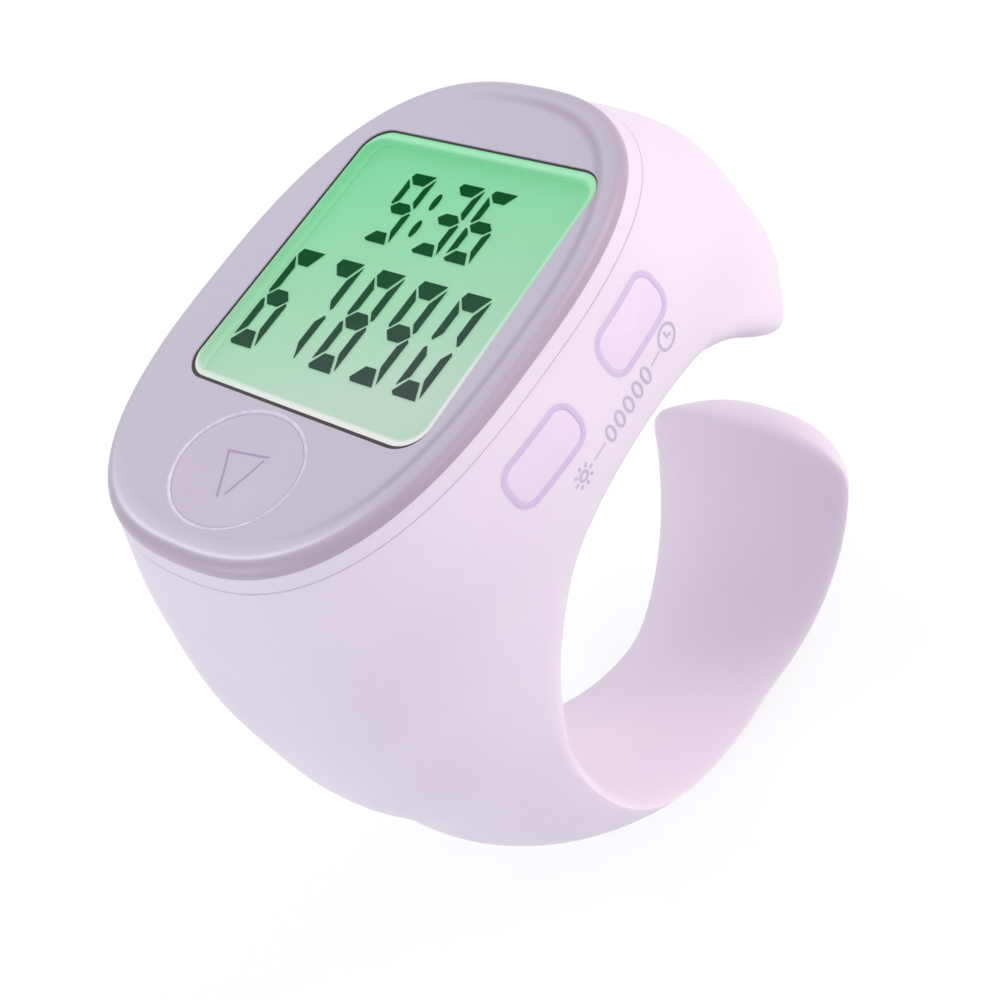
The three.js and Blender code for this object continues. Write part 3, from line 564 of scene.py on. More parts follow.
def ring_body():
    """The ring up to the parting line, with room for the head's inside, the cell, the door and the keys."""
    body = ring_blank("ring_moulding")
    cutters = [
        block("above_seam", (-BEYOND, -BEYOND, SEAM), (BEYOND, BEYOND, ABOVE + 1)),
        cavity(),
        door_prism(DOOR_GAP),
        prism("cell_room", ellipse(CELL_HOLE, CELL_HOLE), 0, CELL_TOP + FIT_GAP),
    ]
    for key_name, place in KEY_PLACES.items():
        cutters.append(key_bar(key_front(key_name), KEY_GAP_WIDTH - KEY_INSET, KEY_ROOM_START, KEY_SEAT + 1))
        cutters.append(key_bar(place, KEY_FLANGE + 2 * FIT_GAP, KEY_SEAT, KEY_SEAT + 3))
    return carve(body, cutters)


def head_frame():
    """The thin upper shell: a strip of the outer form with a fine groove where it meets the body."""
    rows = [(GROOVE, SEAM), (0.0, SEAM + GROOVE)]
    rows += [(0.0, z) for z in np.linspace(SEAM + 0.2, PLATE_BOTTOM, 6)]
    strip = loft("frame_moulding", oval_rings(rows))
    tray = [(PLATE_LIP + FIT_GAP, PLATE_BOTTOM - OVERLAP), (PLATE_LIP + FIT_GAP, DECK_TOP)]
    skirt = [(WALL + SHELL_GAP, SKIRT_BOTTOM), (WALL + SHELL_GAP, SEAM + OVERLAP)]
    carve(
        strip,
        [
            loft("tray", oval_rings(tray, PLATE_BOTTOM, sides=120)),
            loft("skirt", oval_rings(skirt, SEAM, sides=120)),
        ],
        how="UNION",
    )
    inset = WALL + SHELL_GAP + SKIRT_THICKNESS
    hollow = [(inset, SKIRT_BOTTOM - 1), (inset, DECK_BOTTOM)]
    window = window_shape(window_rectangle(WINDOW_LEDGE))
    flange = button_oval(FLANGE_OVERHANG + FIT_GAP)
    hole = button_oval(FIT_GAP)
    return carve(
        strip,
        [
            loft("hollow", oval_rings(hollow, SEAM, sides=120)),
            prism("opening", window, DECK_BOTTOM - 1, DECK_TOP + 1, WINDOW_X, WINDOW_Y),
            prism("flange_room", flange, SKIRT_BOTTOM - 1, DECK_BOTTOM, BUTTON_X, BUTTON_Y),
            prism("button_hole", hole, DECK_BOTTOM - 1, DECK_TOP + 1, BUTTON_X, BUTTON_Y),
        ],
    )


def face_plate():
    """A flat oval whose edge follows (inset / width)^p + (height / rise)^p = 1."""
    rows = []
    for t in np.linspace(0, math.pi / 2, 25):
        inset = RIM_WIDTH * (1 - math.cos(t) ** (2 / RIM_POWER))
        rows.append((inset, PLATE_BOTTOM + RIM_HEIGHT * math.sin(t) ** (2 / RIM_POWER)))
    rows.append((RIM_WIDTH + RIM_BORDER, FACE_TOP))
    plate = loft("plate_moulding", oval_rings(rows, PLATE_BOTTOM))
    under = [(PLATE_LIP, PLATE_BOTTOM - 1), (PLATE_LIP, DECK_TOP)]
    window = window_shape(window_rectangle(0))
    hole = button_oval(COLLAR_WIDTH, BUTTON_SIDES)
    return carve(
        plate,
        [
            loft("under", oval_rings(under, PLATE_BOTTOM, sides=120)),
            prism("opening", window, DECK_TOP - 1, FACE_TOP + 1, WINDOW_X, WINDOW_Y),
            prism("button_hole", hole, DECK_TOP - 1, FACE_TOP + 1, BUTTON_X, BUTTON_Y),
        ],
    )


def battery_door():
    """The part of the ring's ceiling inside the door's outline, with two screw pockets."""
    door = door_prism(0)
    door.name = "door_moulding"
    carve(door, [ring_blank("ceiling")], how="INTERSECT")
    cutters = []
    for x, y in DOOR_SCREWS:
        shank = ellipse(SCREW_SHANK_ROOM, SCREW_SHANK_ROOM, 24)
        head = ellipse(SCREW_HEAD_ROOM, SCREW_HEAD_ROOM, 40)
        cutters.append(prism("shank_room", shank, 0, DOOR_TOP + 1, x, y))
        cutters.append(prism("head_room", head, 0, SCREW_SEAT + SCREW_HEAD_HEIGHT, x, y))
    return carve(door, cutters)


# Display


def window_shape(flat):
    """The window's outline drawn out at the corner between the button's and the keys' side."""
    u, v = flat[:, 0], flat[:, 1]
    towards_button = 0.5 - u / WINDOW_LENGTH
    towards_keys = 0.5 - v / WINDOW_WIDTH
    wide = np.where(v < 0, v * (1 + WINDOW_DRAWN_WIDE * towards_button), v)
    long = np.where(u < 0, u * (1 + WINDOW_DRAWN_LONG * towards_keys), u)
    return np.stack([long, wide], -1)


def window_rings(levels):
    """Level rings of the window's outline: each level gives a share of the rim's width and a height."""
    rings = []
    for share, z in levels:
        low, high = RIM_AT_BUTTON * share, RIM_AT_NOSE * share
        keys, back = RIM_AT_KEYS * share, RIM_AT_BACK * share
        flat = rounded_rectangle(
            WINDOW_LENGTH / 2 - WINDOW_GAP - (low + high) / 2,
            WINDOW_WIDTH / 2 - WINDOW_GAP - (keys + back) / 2,
            (WINDOW_CORNER - WINDOW_GAP) * (1 - share) + LENS_CORNER * share,
        )
        flat = window_shape(flat + np.array([(low - high) / 2, (keys - back) / 2]))
        rings.append(level_ring(flat, z, WINDOW_X, WINDOW_Y))
    return rings


def window_lens():
    """The clear middle of the window, from the deck up to its polished top."""
    levels = [(1.04, LENS_BOTTOM), (1.04, INSET_TOP - 0.01), (1.08, INSET_TOP)]
    return loft("window_lens", window_rings(levels))


def window_rim():
    """The window's sloping edge: it rises from the plate by a quarter wave to the clear middle."""
    turn = np.linspace(0, 1, 9)
    slope = [(t, INSET_TOP - WINDOW_SLOPE * (1 - math.sin(t * math.pi / 2))) for t in turn]
    levels = [(0.0, LENS_BOTTOM), *slope, (1.0, LENS_BOTTOM)]
    rings = window_rings(levels)
    rim = ring_loft("window_rim", rings)
    across = np.repeat([share for share, _ in levels], len(rings[0]))
    rim.data.attributes.new("across", "FLOAT", "POINT").data.foreach_set("value", across)
    return rim


def window_lining():
    """A thin frame under the window that covers the ledge round the display; it glows in the display's
    colours, so no shade shows on the ledge.
    """
    rings = []
    section = [(0.02, 0.001), (0.02, 0.02), (0.42, -0.118), (0.33, -0.119), (0.33, 0.001)]
    for inset, z in section:
        flat = window_rectangle(inset)
        if inset < 0.1:
            flat = window_shape(flat)
        rings.append(level_ring(flat, DECK_TOP + z, WINDOW_X, WINDOW_Y))
    return ring_loft("window_lining", rings)


def window_gap_shade():
    """A dark ring of painted shade in the gap between plate and window, wider at the button's side."""
    half_x, half_y = WINDOW_LENGTH / 2, WINDOW_WIDTH / 2
    outer = window_shape(rounded_rectangle(half_x - 0.002, half_y - 0.002, WINDOW_CORNER))
    near = WINDOW_GAP + 0.005
    wider = GAP_SHADE_AT_BUTTON - near
    inner = rounded_rectangle(half_x - near - wider / 2, half_y - near, WINDOW_CORNER - near)
    inner = window_shape(inner + np.array([wider / 2, 0]))
    high = INSET_TOP - 0.02
    rings = [
        level_ring(flat, z, WINDOW_X, WINDOW_Y)
        for flat, z in ((outer, DECK_TOP), (outer, high), (inner, high), (inner, DECK_TOP))
    ]
    return ring_loft("window_gap_shade", rings)


STROKES = {"0": "abcdef", "3": "abgcd", "6": "afgedc", "7": "abc", "8": "abcdefg", "9": "abcdfg"}


def stroke_outline(letter, row):
    """Corners of one stroke of a seven-stroke figure, u to the right and v up from its lower left."""
    w, h, t = row["digit"], row["height"], row["stroke"]
    tall = 0.17 * h
    m = h / 2
    bend, tip, high, low = m - 0.62 * tall, m - 0.28 * tall, m + 0.5 * tall, m - 0.5 * tall
    lower_right = [(w - 0.3 * t, m - 0.08), (w - t, bend), (w - t, tall + 0.08), (w - 0.01, 0.03), (w, tip)]
    lower_left = [(0, 0.32 * tall + 0.07), (t, tall + 0.1), (t, bend), (0.3 * t, m - 0.08), (0, tip)]
    near, far = t + 0.02, w - t - 0.02
    middle = [(0.09, m), (near, high), (far, high), (w - 0.09, m), (far, low), (near, low)]
    shapes = {
        "a": [(0.03, h - 0.43 * tall), (0.15, h), (w - 0.08, h), (w - t - 0.06, h - tall), (t, h - tall)],
        "b": [(u, h - v) for u, v in lower_right],
        "c": lower_right,
        "d": [(0.02, 0.22 * tall), (t, tall), (w - t - 0.06, tall), (w - 0.1, 0), (0.2, 0)],
        "e": lower_left,
        "f": [(u, h - v) for u, v in lower_left],
        "g": middle,
    }
    return np.array(shapes[letter], float)


def shrunk(flat, amount):
    """An outline with all its sides moved inwards by one amount."""
    flat = anticlockwise(flat)
    inward = left_of(unit(np.roll(flat, -1, 0) - flat))
    both = inward + np.roll(inward, 1, 0)
    return flat + amount * both / (1 + np.sum(inward * np.roll(inward, 1, 0), 1))[:, None]


def row_outlines(row, bottom, left):
    """The outlines of a row: figures are read towards -Y and stand up along +X."""
    found = []
    for figure in row["text"]:
        if figure == ":":
            for share in COLON_HEIGHTS:
                dot = ellipse(*COLON_DOT, 32)
                found.append(dot + np.array([bottom + row["height"] * share, left - COLON_SHIFT]))
            left -= COLON_PITCH
            continue
        for letter in STROKES[figure]:
            corners = shrunk(stroke_outline(letter, row), FIGURE_SHRINK)
            found.append(np.stack([bottom + corners[:, 1], left - corners[:, 0]], -1))
        left -= row["pitch"]
    return found


def figures(name, row, bottom, left):
    """Every stroke of a row as a thin plate, all in one mesh."""
    points, faces, start = [], [], 0
    for flat in row_outlines(row, bottom, left):
        flat = anticlockwise(flat)
        count = len(flat)
        points += [level_ring(flat, FIGURE_BOTTOM), level_ring(flat, FIGURE_TOP)]
        here = np.arange(count) + start
        after = np.roll(here, -1)
        faces.append(np.stack([here, after, after + count, here + count], -1))
        faces.append(here[::-1][None, :])
        faces.append(here[None, :] + count)
        start += 2 * count
    return mesh_object(name, np.vstack(points), faces)


# Buttons


def button_height(u, v):
    """The button's top over a disc of radius 1: a shallow dish inside a border whose edge drops."""
    r = np.sqrt(u * u + v * v)
    dish = BUTTON_DISH * (1 - np.clip(r / BUTTON_DISH_RADIUS, 0, 1) ** 2) ** 1.3
    drop = np.clip((r - BUTTON_EDGE_RADIUS) / (1 - BUTTON_EDGE_RADIUS), 0, 1) ** 2
    return INSET_TOP - dish - BUTTON_EDGE_DROP * drop


def count_button():
    """Rings from the post up round the flange and the cap, then inwards over the dished top."""
    flange_top = DECK_BOTTOM - FLANGE_CLEARANCE
    flange_bottom = flange_top - FLANGE_THICKNESS
    post = ellipse(POST_RADIUS, POST_RADIUS, BUTTON_SIDES)
    flange = button_oval(FLANGE_OVERHANG, BUTTON_SIDES)
    rings = [level_ring(post, POST_BOTTOM), level_ring(post, flange_bottom)]
    rings += [level_ring(flange, flange_bottom), level_ring(flange, flange_top)]
    rings.append(level_ring(button_oval(0, BUTTON_SIDES), flange_top))
    turn = full_turn(BUTTON_SIDES)
    for share in np.concatenate([np.linspace(1, 0.8, 25), np.linspace(0.78, 0.03, 26)]):
        u, v = share * np.cos(turn), share * np.sin(turn)
        rings.append(np.stack([u * BUTTON_LENGTH / 2, v * BUTTON_WIDTH / 2, button_height(u, v)], -1))
    rings = np.array(rings) + np.array([BUTTON_X, BUTTON_Y, 0])
    rings[2:4, :, 0] = np.minimum(rings[2:4, :, 0], FLANGE_RIGHT)
    return loft("button_moulding", rings, ends=("flat", "point"))


def ribbon(name, paths, width, place):
    """Flat lines of one width along paths (a, b), raised a little: place maps a, b and height to xyz."""
    points, faces, start = [], [], 0
    for path in paths:
        path = np.asarray(path, float)
        ahead = np.vstack([path[1:], 2 * path[-1] - path[-2]])
        behind = np.vstack([2 * path[0] - path[1], path[:-1]])
        into = unit(path - behind)
        across = left_of(unit(into + unit(ahead - path)))
        stretch = 1 / np.maximum(np.sum(across * left_of(into), 1), 0.35)
        shift = across * (width / 2 * stretch)[:, None]
        left, right = path + shift, path - shift
        corners = [place(left, 0.0), place(left, 1.0), place(right, 1.0), place(right, 0.0)]
        count = len(path)
        points.append(np.stack(corners, 1).reshape(-1, 3))
        faces.append(quads_between(count, 4) + start)
        faces.append(np.array([[3, 2, 1, 0]]) + start)
        faces.append(np.array([[0, 1, 2, 3]]) + start + (count - 1) * 4)
        start += 4 * count
    return mesh_object(name, np.vstack(points), faces)


def button_highlight_collar():
    """A pale ring in the gap round the button, a painted highlight on the button's edge, with a low arch
    that lies a hair over both borders.
    """
    section = [(0.01, -0.3), (0.01, -0.062), (-0.04, -0.059), (-0.04, -0.05), (-0.01, -0.012)]
    section += [(0.03, 0.006), (0.06, 0.008), (0.085, 0.006), (0.09, 0.001), (0.057, 0.001), (0.057, -0.3)]
    rings = [
        level_ring(button_oval(grow, BUTTON_SIDES), FACE_TOP + rise, BUTTON_X, BUTTON_Y)
        for grow, rise in section
    ]
    return ring_loft("button_highlight_collar", rings)


def button_mark():
    """An outlined triangle printed on the button, open at its point, which is towards the face's end."""

    def place(flat, height):
        u = (flat[:, 0] - BUTTON_X) / (BUTTON_LENGTH / 2)
        v = (flat[:, 1] - BUTTON_Y) / (BUTTON_WIDTH / 2)
        z = button_height(u, v) - MARK_DEPTH + BUTTON_MARK_THICKNESS * height
        return np.column_stack([flat, z])

    steps = np.linspace(0, 1, 16)[:, None]

    def straight(start, end):
        return np.array(start) + (np.array(end) - np.array(start)) * steps

    back, front, tip = (-10.08, 0.92), (-9.82, -1.06), (-11.95, -0.12)
    bent = np.vstack([straight(front, back)[:-1], straight(back, tip)])
    last_side = straight((-9.99, -0.95), (-11.72, -0.36))
    return ribbon("button_mark", [bent, last_side], BUTTON_STROKE, place)


def key_front(name):
    """The middle of a key's visible end."""
    return np.array(KEY_PLACES[name]) + np.array(KEY_SHIFTS[name])


def key_outline(name, grow):
    """The outline of a key's visible end in X and Z, grown by one amount."""
    return key_rectangle(grow - KEY_INSET) + key_front(name)


def side_key(name):
    """Rings from the flange out to the wall, round its edge, and inwards over a slightly crowned end."""
    flange = key_rectangle(KEY_FLANGE) + np.array(KEY_PLACES[name])
    stem_start = upright_ring(key_outline(name, 0), KEY_SEAT + FIT_GAP)
    rings = [upright_ring(flange, KEY_BACK), upright_ring(flange, KEY_SEAT + FIT_GAP), stem_start]
    for t in np.linspace(0, math.pi / 2, 7):
        flat = key_outline(name, -KEY_EDGE * (1 - math.cos(t)))
        rings.append(on_wall(flat, KEY_EDGE * (1 - math.sin(t))))
    centre = key_front(name)
    inner = key_outline(name, -KEY_CROWN_INSET)
    for share in (1.0, 0.8, 0.6, 0.4, 0.2, 0.04):
        rings.append(on_wall(centre + (inner - centre) * share, -KEY_CROWN * (1 - share**2)))
    return loft(name + "_moulding", rings, ends=("flat", "point"))


def key_gap_shade(name):
    """A lavender lip of painted shade in the gap between a key and the wall, a hair over both borders."""
    inside = KEY_GAP_WIDTH - 0.004
    over = KEY_GAP_WIDTH + 0.01
    section = [(0.012, 0.9), (0.012, 0.03), (-0.03, 0.0165), (-0.03, 0.008), (0.0, -0.008), (0.04, -0.014)]
    section += [(0.15, -0.014), (over, -0.006), (over, -0.001), (inside, -0.001), (inside, 0.9)]
    return ring_loft(name + "_seal", [on_wall(key_outline(name, grow), depth) for grow, depth in section])


# Marks printed on the wall below the keys


def wall_place(flat, height):
    """Points (x, z) on the side wall: sunk in by a little at height 0, and a hair proud at height 1."""
    return on_wall(flat, MARK_DEPTH - WALL_MARK_THICKNESS * height)


def label_marks():
    """A line with a sun, a row of noughts and a clock face on it: plain signs for what the keys do."""
    first = np.array(LABEL_START)
    forth = np.array(LABEL_END) - first
    forth = forth / np.linalg.norm(forth)
    up = np.array([-forth[1], forth[0]])

    def at(a, b):
        return first + np.multiply.outer(a, forth) + np.multiply.outer(b, up)

    def oval(a, half_a, half_b):
        turn = np.linspace(0, 2 * math.pi, 28)
        return at(a + half_a * np.cos(turn), half_b * np.sin(turn))

    def straight(a0, b0, a1, b1):
        t = np.linspace(0, 1, 6)
        return at(a0 + (a1 - a0) * t, b0 + (b1 - b0) * t)

    strokes = []
    for turn in full_turn(8):
        c, s = math.cos(turn), math.sin(turn)
        strokes.append(straight(0.36 * c, 0.36 * s, 0.54 * c, 0.54 * s))
    clock = 6.15
    strokes += [straight(clock, -0.06, clock, 0.3), straight(clock, 0, clock + 0.24, -0.08)]
    strokes += [oval(1.88 + 0.64 * i, 0.19, 0.4) for i in range(5)]
    strokes += [oval(0, 0.2, 0.2), oval(clock, 0.5, 0.5)]
    lines = [straight(0.7, 0, 1.45, 0), straight(4.87, 0, 5.5, 0)]
    return [
        ribbon("label_marks", strokes, SIGN_STROKE, wall_place),
        ribbon("label_lines", lines, LINE_STROKE, wall_place),
    ]


# Materials

# The display's light falls off along a slanting line: its reach, and the colours at places on it
DISPLAY_SLANT = math.radians(20)
DISPLAY_LOW = -7.5
DISPLAY_HIGH = 5.5
DISPLAY_TONES = [
    (-7.0, (190, 215, 195)),
    (-3.0, (165, 215, 180)),
    (0.0, (150, 215, 170)),
    (5.0, (130, 215, 160)),
]
# The window edge's colours: a painted highlight on its bevel, palest at the button's end
RIM_HIGHLIGHT_TONES = [
    (-7.0, (240, 240, 235)),
    (-5.5, (220, 240, 225)),
    (-3.0, (190, 235, 205)),
    (5.0, (160, 235, 185)),
]
FIGURE_TONES = [(-6.5, (72, 86, 78)), (-2.5, (46, 84, 60)), (0.5, (24, 83, 44)), (4.0, (12, 83, 36))]

# The plate's colours, from its flat middle outwards: 1 is its edge. Past the plain tone they are painted
# light: a painted highlight and painted shade on the edge rounding
PLATE_TONE = (200, 190, 203)
PLATE_END_PAINTED_LIGHT = [
    (0.9, PLATE_TONE),
    (0.942, (211, 201, 211)),
    (0.957, (243, 234, 239)),
    (0.966, (200, 186, 198)),
    (0.976, (190, 173, 185)),
    (1.0, (190, 173, 185)),
]
PLATE_SIDE_PAINTED_SHADE = [
    (0.885, PLATE_TONE),
    (0.905, (182, 167, 183)),
    (0.915, (179, 163, 179)),
    (0.938, (203, 193, 205)),
    (0.965, (198, 186, 199)),
    (0.99, (181, 163, 177)),
]


def empty_tree(owner):
    """The emptied nodes of a material or a world, and their links."""
    owner.use_nodes = True
    owner.node_tree.nodes.clear()
    return owner.node_tree.nodes, owner.node_tree.links


def put(node, **values):
    """Sets a node's inputs by their names, with an underscore for each space."""
    for socket, value in values.items():
        node.inputs[socket.replace("_", " ")].default_value = value
    return node


def node_material(name):
    material = bpy.data.materials.new(name)
    nodes, links = empty_tree(material)
    output = nodes.new("ShaderNodeOutputMaterial")
    shader = nodes.new("ShaderNodeBsdfPrincipled")
    links.new(shader.outputs["BSDF"], output.inputs["Surface"])
    return material, nodes, links, shader


def linear(colour):
    """A colour given as 0 to 255 on screen, as linear light."""
    c = np.array(colour, float) / 255
    light = np.where(c <= 0.04045, c / 12.92, ((c + 0.055) / 1.055) ** 2.4)
    return (*light.tolist(), 1.0)


def noise(nodes, links, scale, detail, roughness=0.5):
    place = nodes.new("ShaderNodeTexCoord")
    made = put(nodes.new("ShaderNodeTexNoise"), Scale=scale, Detail=detail, Roughness=roughness)
    links.new(place.outputs["Object"], made.inputs["Vector"])
    return made.outputs["Fac"]


def ramp(nodes, links, source, stops):
    """Colours from 0 to 255 at shares of the way, mixed between them."""
    made = nodes.new("ShaderNodeValToRGB")
    links.new(source, made.inputs["Fac"])
    elements = made.color_ramp.elements
    for i, (place, colour) in enumerate(stops):
        element = elements[i] if i < 2 else elements.new(place)
        element.position = place
        element.color = linear(colour)
    return made.outputs["Color"]


def spread(nodes, links, source, low, high):
    """A share from 0 to 1 as a value from low to high."""
    made = put(nodes.new("ShaderNodeMapRange"), To_Min=low, To_Max=high)
    links.new(source, made.inputs["Value"])
    return made.outputs["Result"]


def gloss(nodes, links, shader, low, high, scale=5000):
    """A roughness that changes a little over a fine grain."""
    links.new(spread(nodes, links, noise(nodes, links, scale, 2.0), low, high), shader.inputs["Roughness"])


def grained(nodes, links, shader, low, high):
    """The moulded surface's fine grain, in its gloss and as a very low relief."""
    fine = noise(nodes, links, 6000, 2.0, 0.6)
    links.new(spread(nodes, links, fine, low, high), shader.inputs["Roughness"])
    bump = put(nodes.new("ShaderNodeBump"), Strength=1.0, Distance=2e-6)
    links.new(fine, bump.inputs["Height"])
    links.new(bump.outputs["Normal"], shader.inputs["Normal"])


def moulded(name, colour, shade, rough=(0.42, 0.5), cloud=140, soft=0.0, metal=0.0):
    """Moulded or plated stuff: cloudy change between two near colours, a fine grain, a changing gloss."""
    material, nodes, links, shader = node_material(name)
    clouds = noise(nodes, links, cloud, 4.0, 0.55)
    links.new(ramp(nodes, links, clouds, [(0.3, shade), (0.7, colour)]), shader.inputs["Base Color"])
    grained(nodes, links, shader, *rough)
    put(shader, Metallic=metal)
    if soft:
        put(shader, Subsurface_Weight=soft, Subsurface_Radius=(1.0, 0.8, 0.9), Subsurface_Scale=0.0006)
    return material


def along(nodes, links, direction, low, high):
    """0 at one place along a direction and 1 at another, in the object's own coordinates."""
    place = nodes.new("ShaderNodeTexCoord")
    dot = nodes.new("ShaderNodeVectorMath")
    dot.operation = "DOT_PRODUCT"
    dot.inputs[1].default_value = direction
    made = put(nodes.new("ShaderNodeMapRange"), From_Min=low * MM, From_Max=high * MM)
    links.new(place.outputs["Object"], dot.inputs[0])
    links.new(dot.outputs["Value"], made.inputs["Value"])
    return made.outputs["Result"]


def blend(nodes, links, share, first, second):
    """A mix of two colour outputs."""
    made = nodes.new("ShaderNodeMix")
    made.data_type = "RGBA"
    links.new(share, made.inputs["Factor"])
    links.new(first, made.inputs["A"])
    links.new(second, made.inputs["B"])
    return made.outputs["Result"]


def dimmed(nodes, links, colour, share):
    """A colour output times one number."""
    made = nodes.new("ShaderNodeVectorMath")
    made.operation = "SCALE"
    made.inputs["Scale"].default_value = share
    links.new(colour, made.inputs[0])
    return made.outputs["Vector"]


def display_tone(nodes, links, stops):
    """Colours along the display's slanting fall of light."""
    direction = (math.cos(DISPLAY_SLANT), math.sin(DISPLAY_SLANT), 0)
    shares = along(nodes, links, direction, DISPLAY_LOW, DISPLAY_HIGH)
    whole = DISPLAY_HIGH - DISPLAY_LOW
    return ramp(nodes, links, shares, [((place - DISPLAY_LOW) / whole, tone) for place, tone in stops])


def glowing(links, shader, colour, strength):
    links.new(colour, shader.inputs["Emission Color"])
    put(shader, Emission_Strength=strength)


def graded(name, stops, glow=0.0, rough=0.35, specular=0.5):
    """A colour that changes along the display, partly lit from behind."""
    material, nodes, links, shader = node_material(name)
    colour = display_tone(nodes, links, stops)
    links.new(dimmed(nodes, links, colour, 1.1 - glow), shader.inputs["Base Color"])
    gloss(nodes, links, shader, rough - 0.04, rough + 0.04)
    put(shader, Specular_IOR_Level=specular)
    if glow:
        glowing(links, shader, colour, glow)
    return material


def painted_rim_highlight():
    """The window's edge: a painted highlight, pale towards the plate and fading into the display's colour
    at its inner side, and partly glowing.
    """
    material, nodes, links, shader = node_material("window_edge_highlight")
    outer = display_tone(nodes, links, RIM_HIGHLIGHT_TONES)
    inner = display_tone(nodes, links, DISPLAY_TONES)
    across = nodes.new("ShaderNodeAttribute")
    across.attribute_name = "across"
    fade = put(nodes.new("ShaderNodeMapRange"), From_Min=0.55, From_Max=1.0)
    fade.interpolation_type = "SMOOTHSTEP"
    links.new(across.outputs["Fac"], fade.inputs["Value"])
    colour = blend(nodes, links, fade.outputs["Result"], outer, inner)
    links.new(dimmed(nodes, links, colour, 0.4), shader.inputs["Base Color"])
    glowing(links, shader, colour, 0.6)
    gloss(nodes, links, shader, 0.25, 0.33)
    put(shader, Specular_IOR_Level=0.2)
    return material


def sum_of_powers(nodes, links):
    """How far out a point is on the plate, 1 at its edge: (|x - c|/a)^p + (|y|/b)^p to the power 1/p."""

    def math_node(operation, first, second=None):
        made = nodes.new("ShaderNodeMath")
        made.operation = operation
        for socket, value in zip(made.inputs, (first, second)):
            if isinstance(value, (int, float)):
                socket.default_value = value
            elif value is not None:
                links.new(value, socket)
        return made.outputs[0]

    place = nodes.new("ShaderNodeTexCoord")
    split = nodes.new("ShaderNodeSeparateXYZ")
    links.new(place.outputs["Object"], split.inputs[0])
    powers = []
    for axis, centre, half in (("X", FACE_SHIFT, FACE_LENGTH / 2), ("Y", 0.0, FACE_WIDTH / 2)):
        away = math_node("ABSOLUTE", math_node("SUBTRACT", split.outputs[axis], centre * MM))
        powers.append(math_node("POWER", math_node("DIVIDE", away, half * MM), FACE_EXPONENT))
    return math_node("POWER", math_node("ADD", *powers), 1 / FACE_EXPONENT)


def plate_with_painted_edge():
    """Satin plastic with light painted on its edge: a pale painted highlight and darker painted shade round
    the button's end, and a dark crease of painted shade at the keys, fading to the plain tone towards the
    back.
    """
    material, nodes, links, shader = node_material("satin_plate_painted_edge")
    out = sum_of_powers(nodes, links)
    # Painted highlight and painted shade round the button's end, painted shade along the keys' side
    end_painted_light = ramp(nodes, links, out, PLATE_END_PAINTED_LIGHT)
    side_painted_shade = ramp(nodes, links, out, PLATE_SIDE_PAINTED_SHADE)
    towards_keys = along(nodes, links, (0.88, -0.47, 0), -9.5, -5.0)
    towards_back = along(nodes, links, (0.2, 1, 0), 0.0, 4.5)
    edge = blend(nodes, links, towards_keys, end_painted_light, side_painted_shade)
    plain = nodes.new("ShaderNodeRGB")
    plain.outputs[0].default_value = linear(PLATE_TONE)
    links.new(blend(nodes, links, towards_back, edge, plain.outputs[0]), shader.inputs["Base Color"])
    grained(nodes, links, shader, 0.3, 0.38)
    return material


shell = moulded("satin_shell", (241, 227, 236), (237, 222, 233), soft=0.15)
plate = plate_with_painted_edge()
button = moulded("satin_button", (211, 198, 210), (206, 193, 205), rough=(0.4, 0.48), cloud=500)
key_finish = moulded("satin_key", (240, 221, 239), (236, 217, 235), rough=(0.4, 0.48), cloud=300)
# Lavender of painted shade for the gaps round the keys
gap_shade_tone = moulded("key_gap_shade", (218, 197, 227), (212, 190, 221), rough=(0.55, 0.65), cloud=600)
mark = moulded("printed_mark", (202, 192, 212), (194, 184, 204), rough=(0.5, 0.6), cloud=900)
button_line = moulded("button_line", (181, 163, 193), (174, 156, 187), rough=(0.5, 0.6), cloud=900)
# A whitish line of painted highlight round the count button
painted_highlight_line = moulded("painted_highlight_line", (244, 234, 244), (216, 204, 222), rough=(0.5, 0.6), cloud=2600)
# Near black for the painted shade in the window's gap
gap_shade_dark = moulded("painted_gap_shade", (52, 34, 40), (44, 30, 34), rough=(0.5, 0.6), cloud=900)
white_plastic = moulded("white_plastic", (236, 235, 230), (228, 227, 222), rough=(0.45, 0.55))
black_plastic = moulded("black_plastic", (34, 34, 37), (28, 28, 30), rough=(0.4, 0.55), cloud=800)
rubber = moulded("layered_rubber", (98, 98, 104), (70, 70, 76), rough=(0.7, 0.8), cloud=2500)
board_green = moulded("board_green", (44, 116, 72), (34, 98, 60), rough=(0.3, 0.4), cloud=900)
ceramic = moulded("ceramic", (186, 156, 108), (170, 140, 94), rough=(0.5, 0.6), cloud=1500)
steel = moulded("plated_steel", (200, 203, 208), (184, 187, 193), rough=(0.22, 0.34), cloud=700, metal=1.0)
gold = moulded("plated_spring", (220, 184, 96), (205, 168, 82), rough=(0.25, 0.36), cloud=900, metal=1.0)

display_field = graded("display_field", DISPLAY_TONES, glow=0.65, specular=0.05)
# The window's edge takes a painted highlight that partly glows
rim_highlight = painted_rim_highlight()
figure_dark = graded("figure_dark", FIGURE_TONES, rough=0.6, specular=0.0)


def clear_plastic():
    """Polished clear plastic, thin enough to let the display show as it is."""
    material, nodes, links, shader = node_material("clear_window")
    put(shader, Base_Color=(0.05, 0.1, 0.07, 1), Alpha=0.01)
    gloss(nodes, links, shader, 0.04, 0.1, 900)
    return material


window_clear = clear_plastic()


def settle(piece, material, body):
    """Smooth shading with sharp edges kept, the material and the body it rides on."""
    mesh = piece.data
    mesh.polygons.foreach_set("use_smooth", np.ones(len(mesh.polygons), bool))
    mesh.set_sharp_from_angle(angle=SHARP_ANGLE)
    mesh.materials.clear()
    mesh.materials.append(material)
    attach(piece, body)


def replace(piece, material, body, slot, *nodes):
    """Settles a piece that stands in for nodes of the solid model."""
    settle(piece, material, body)
    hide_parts(*nodes)


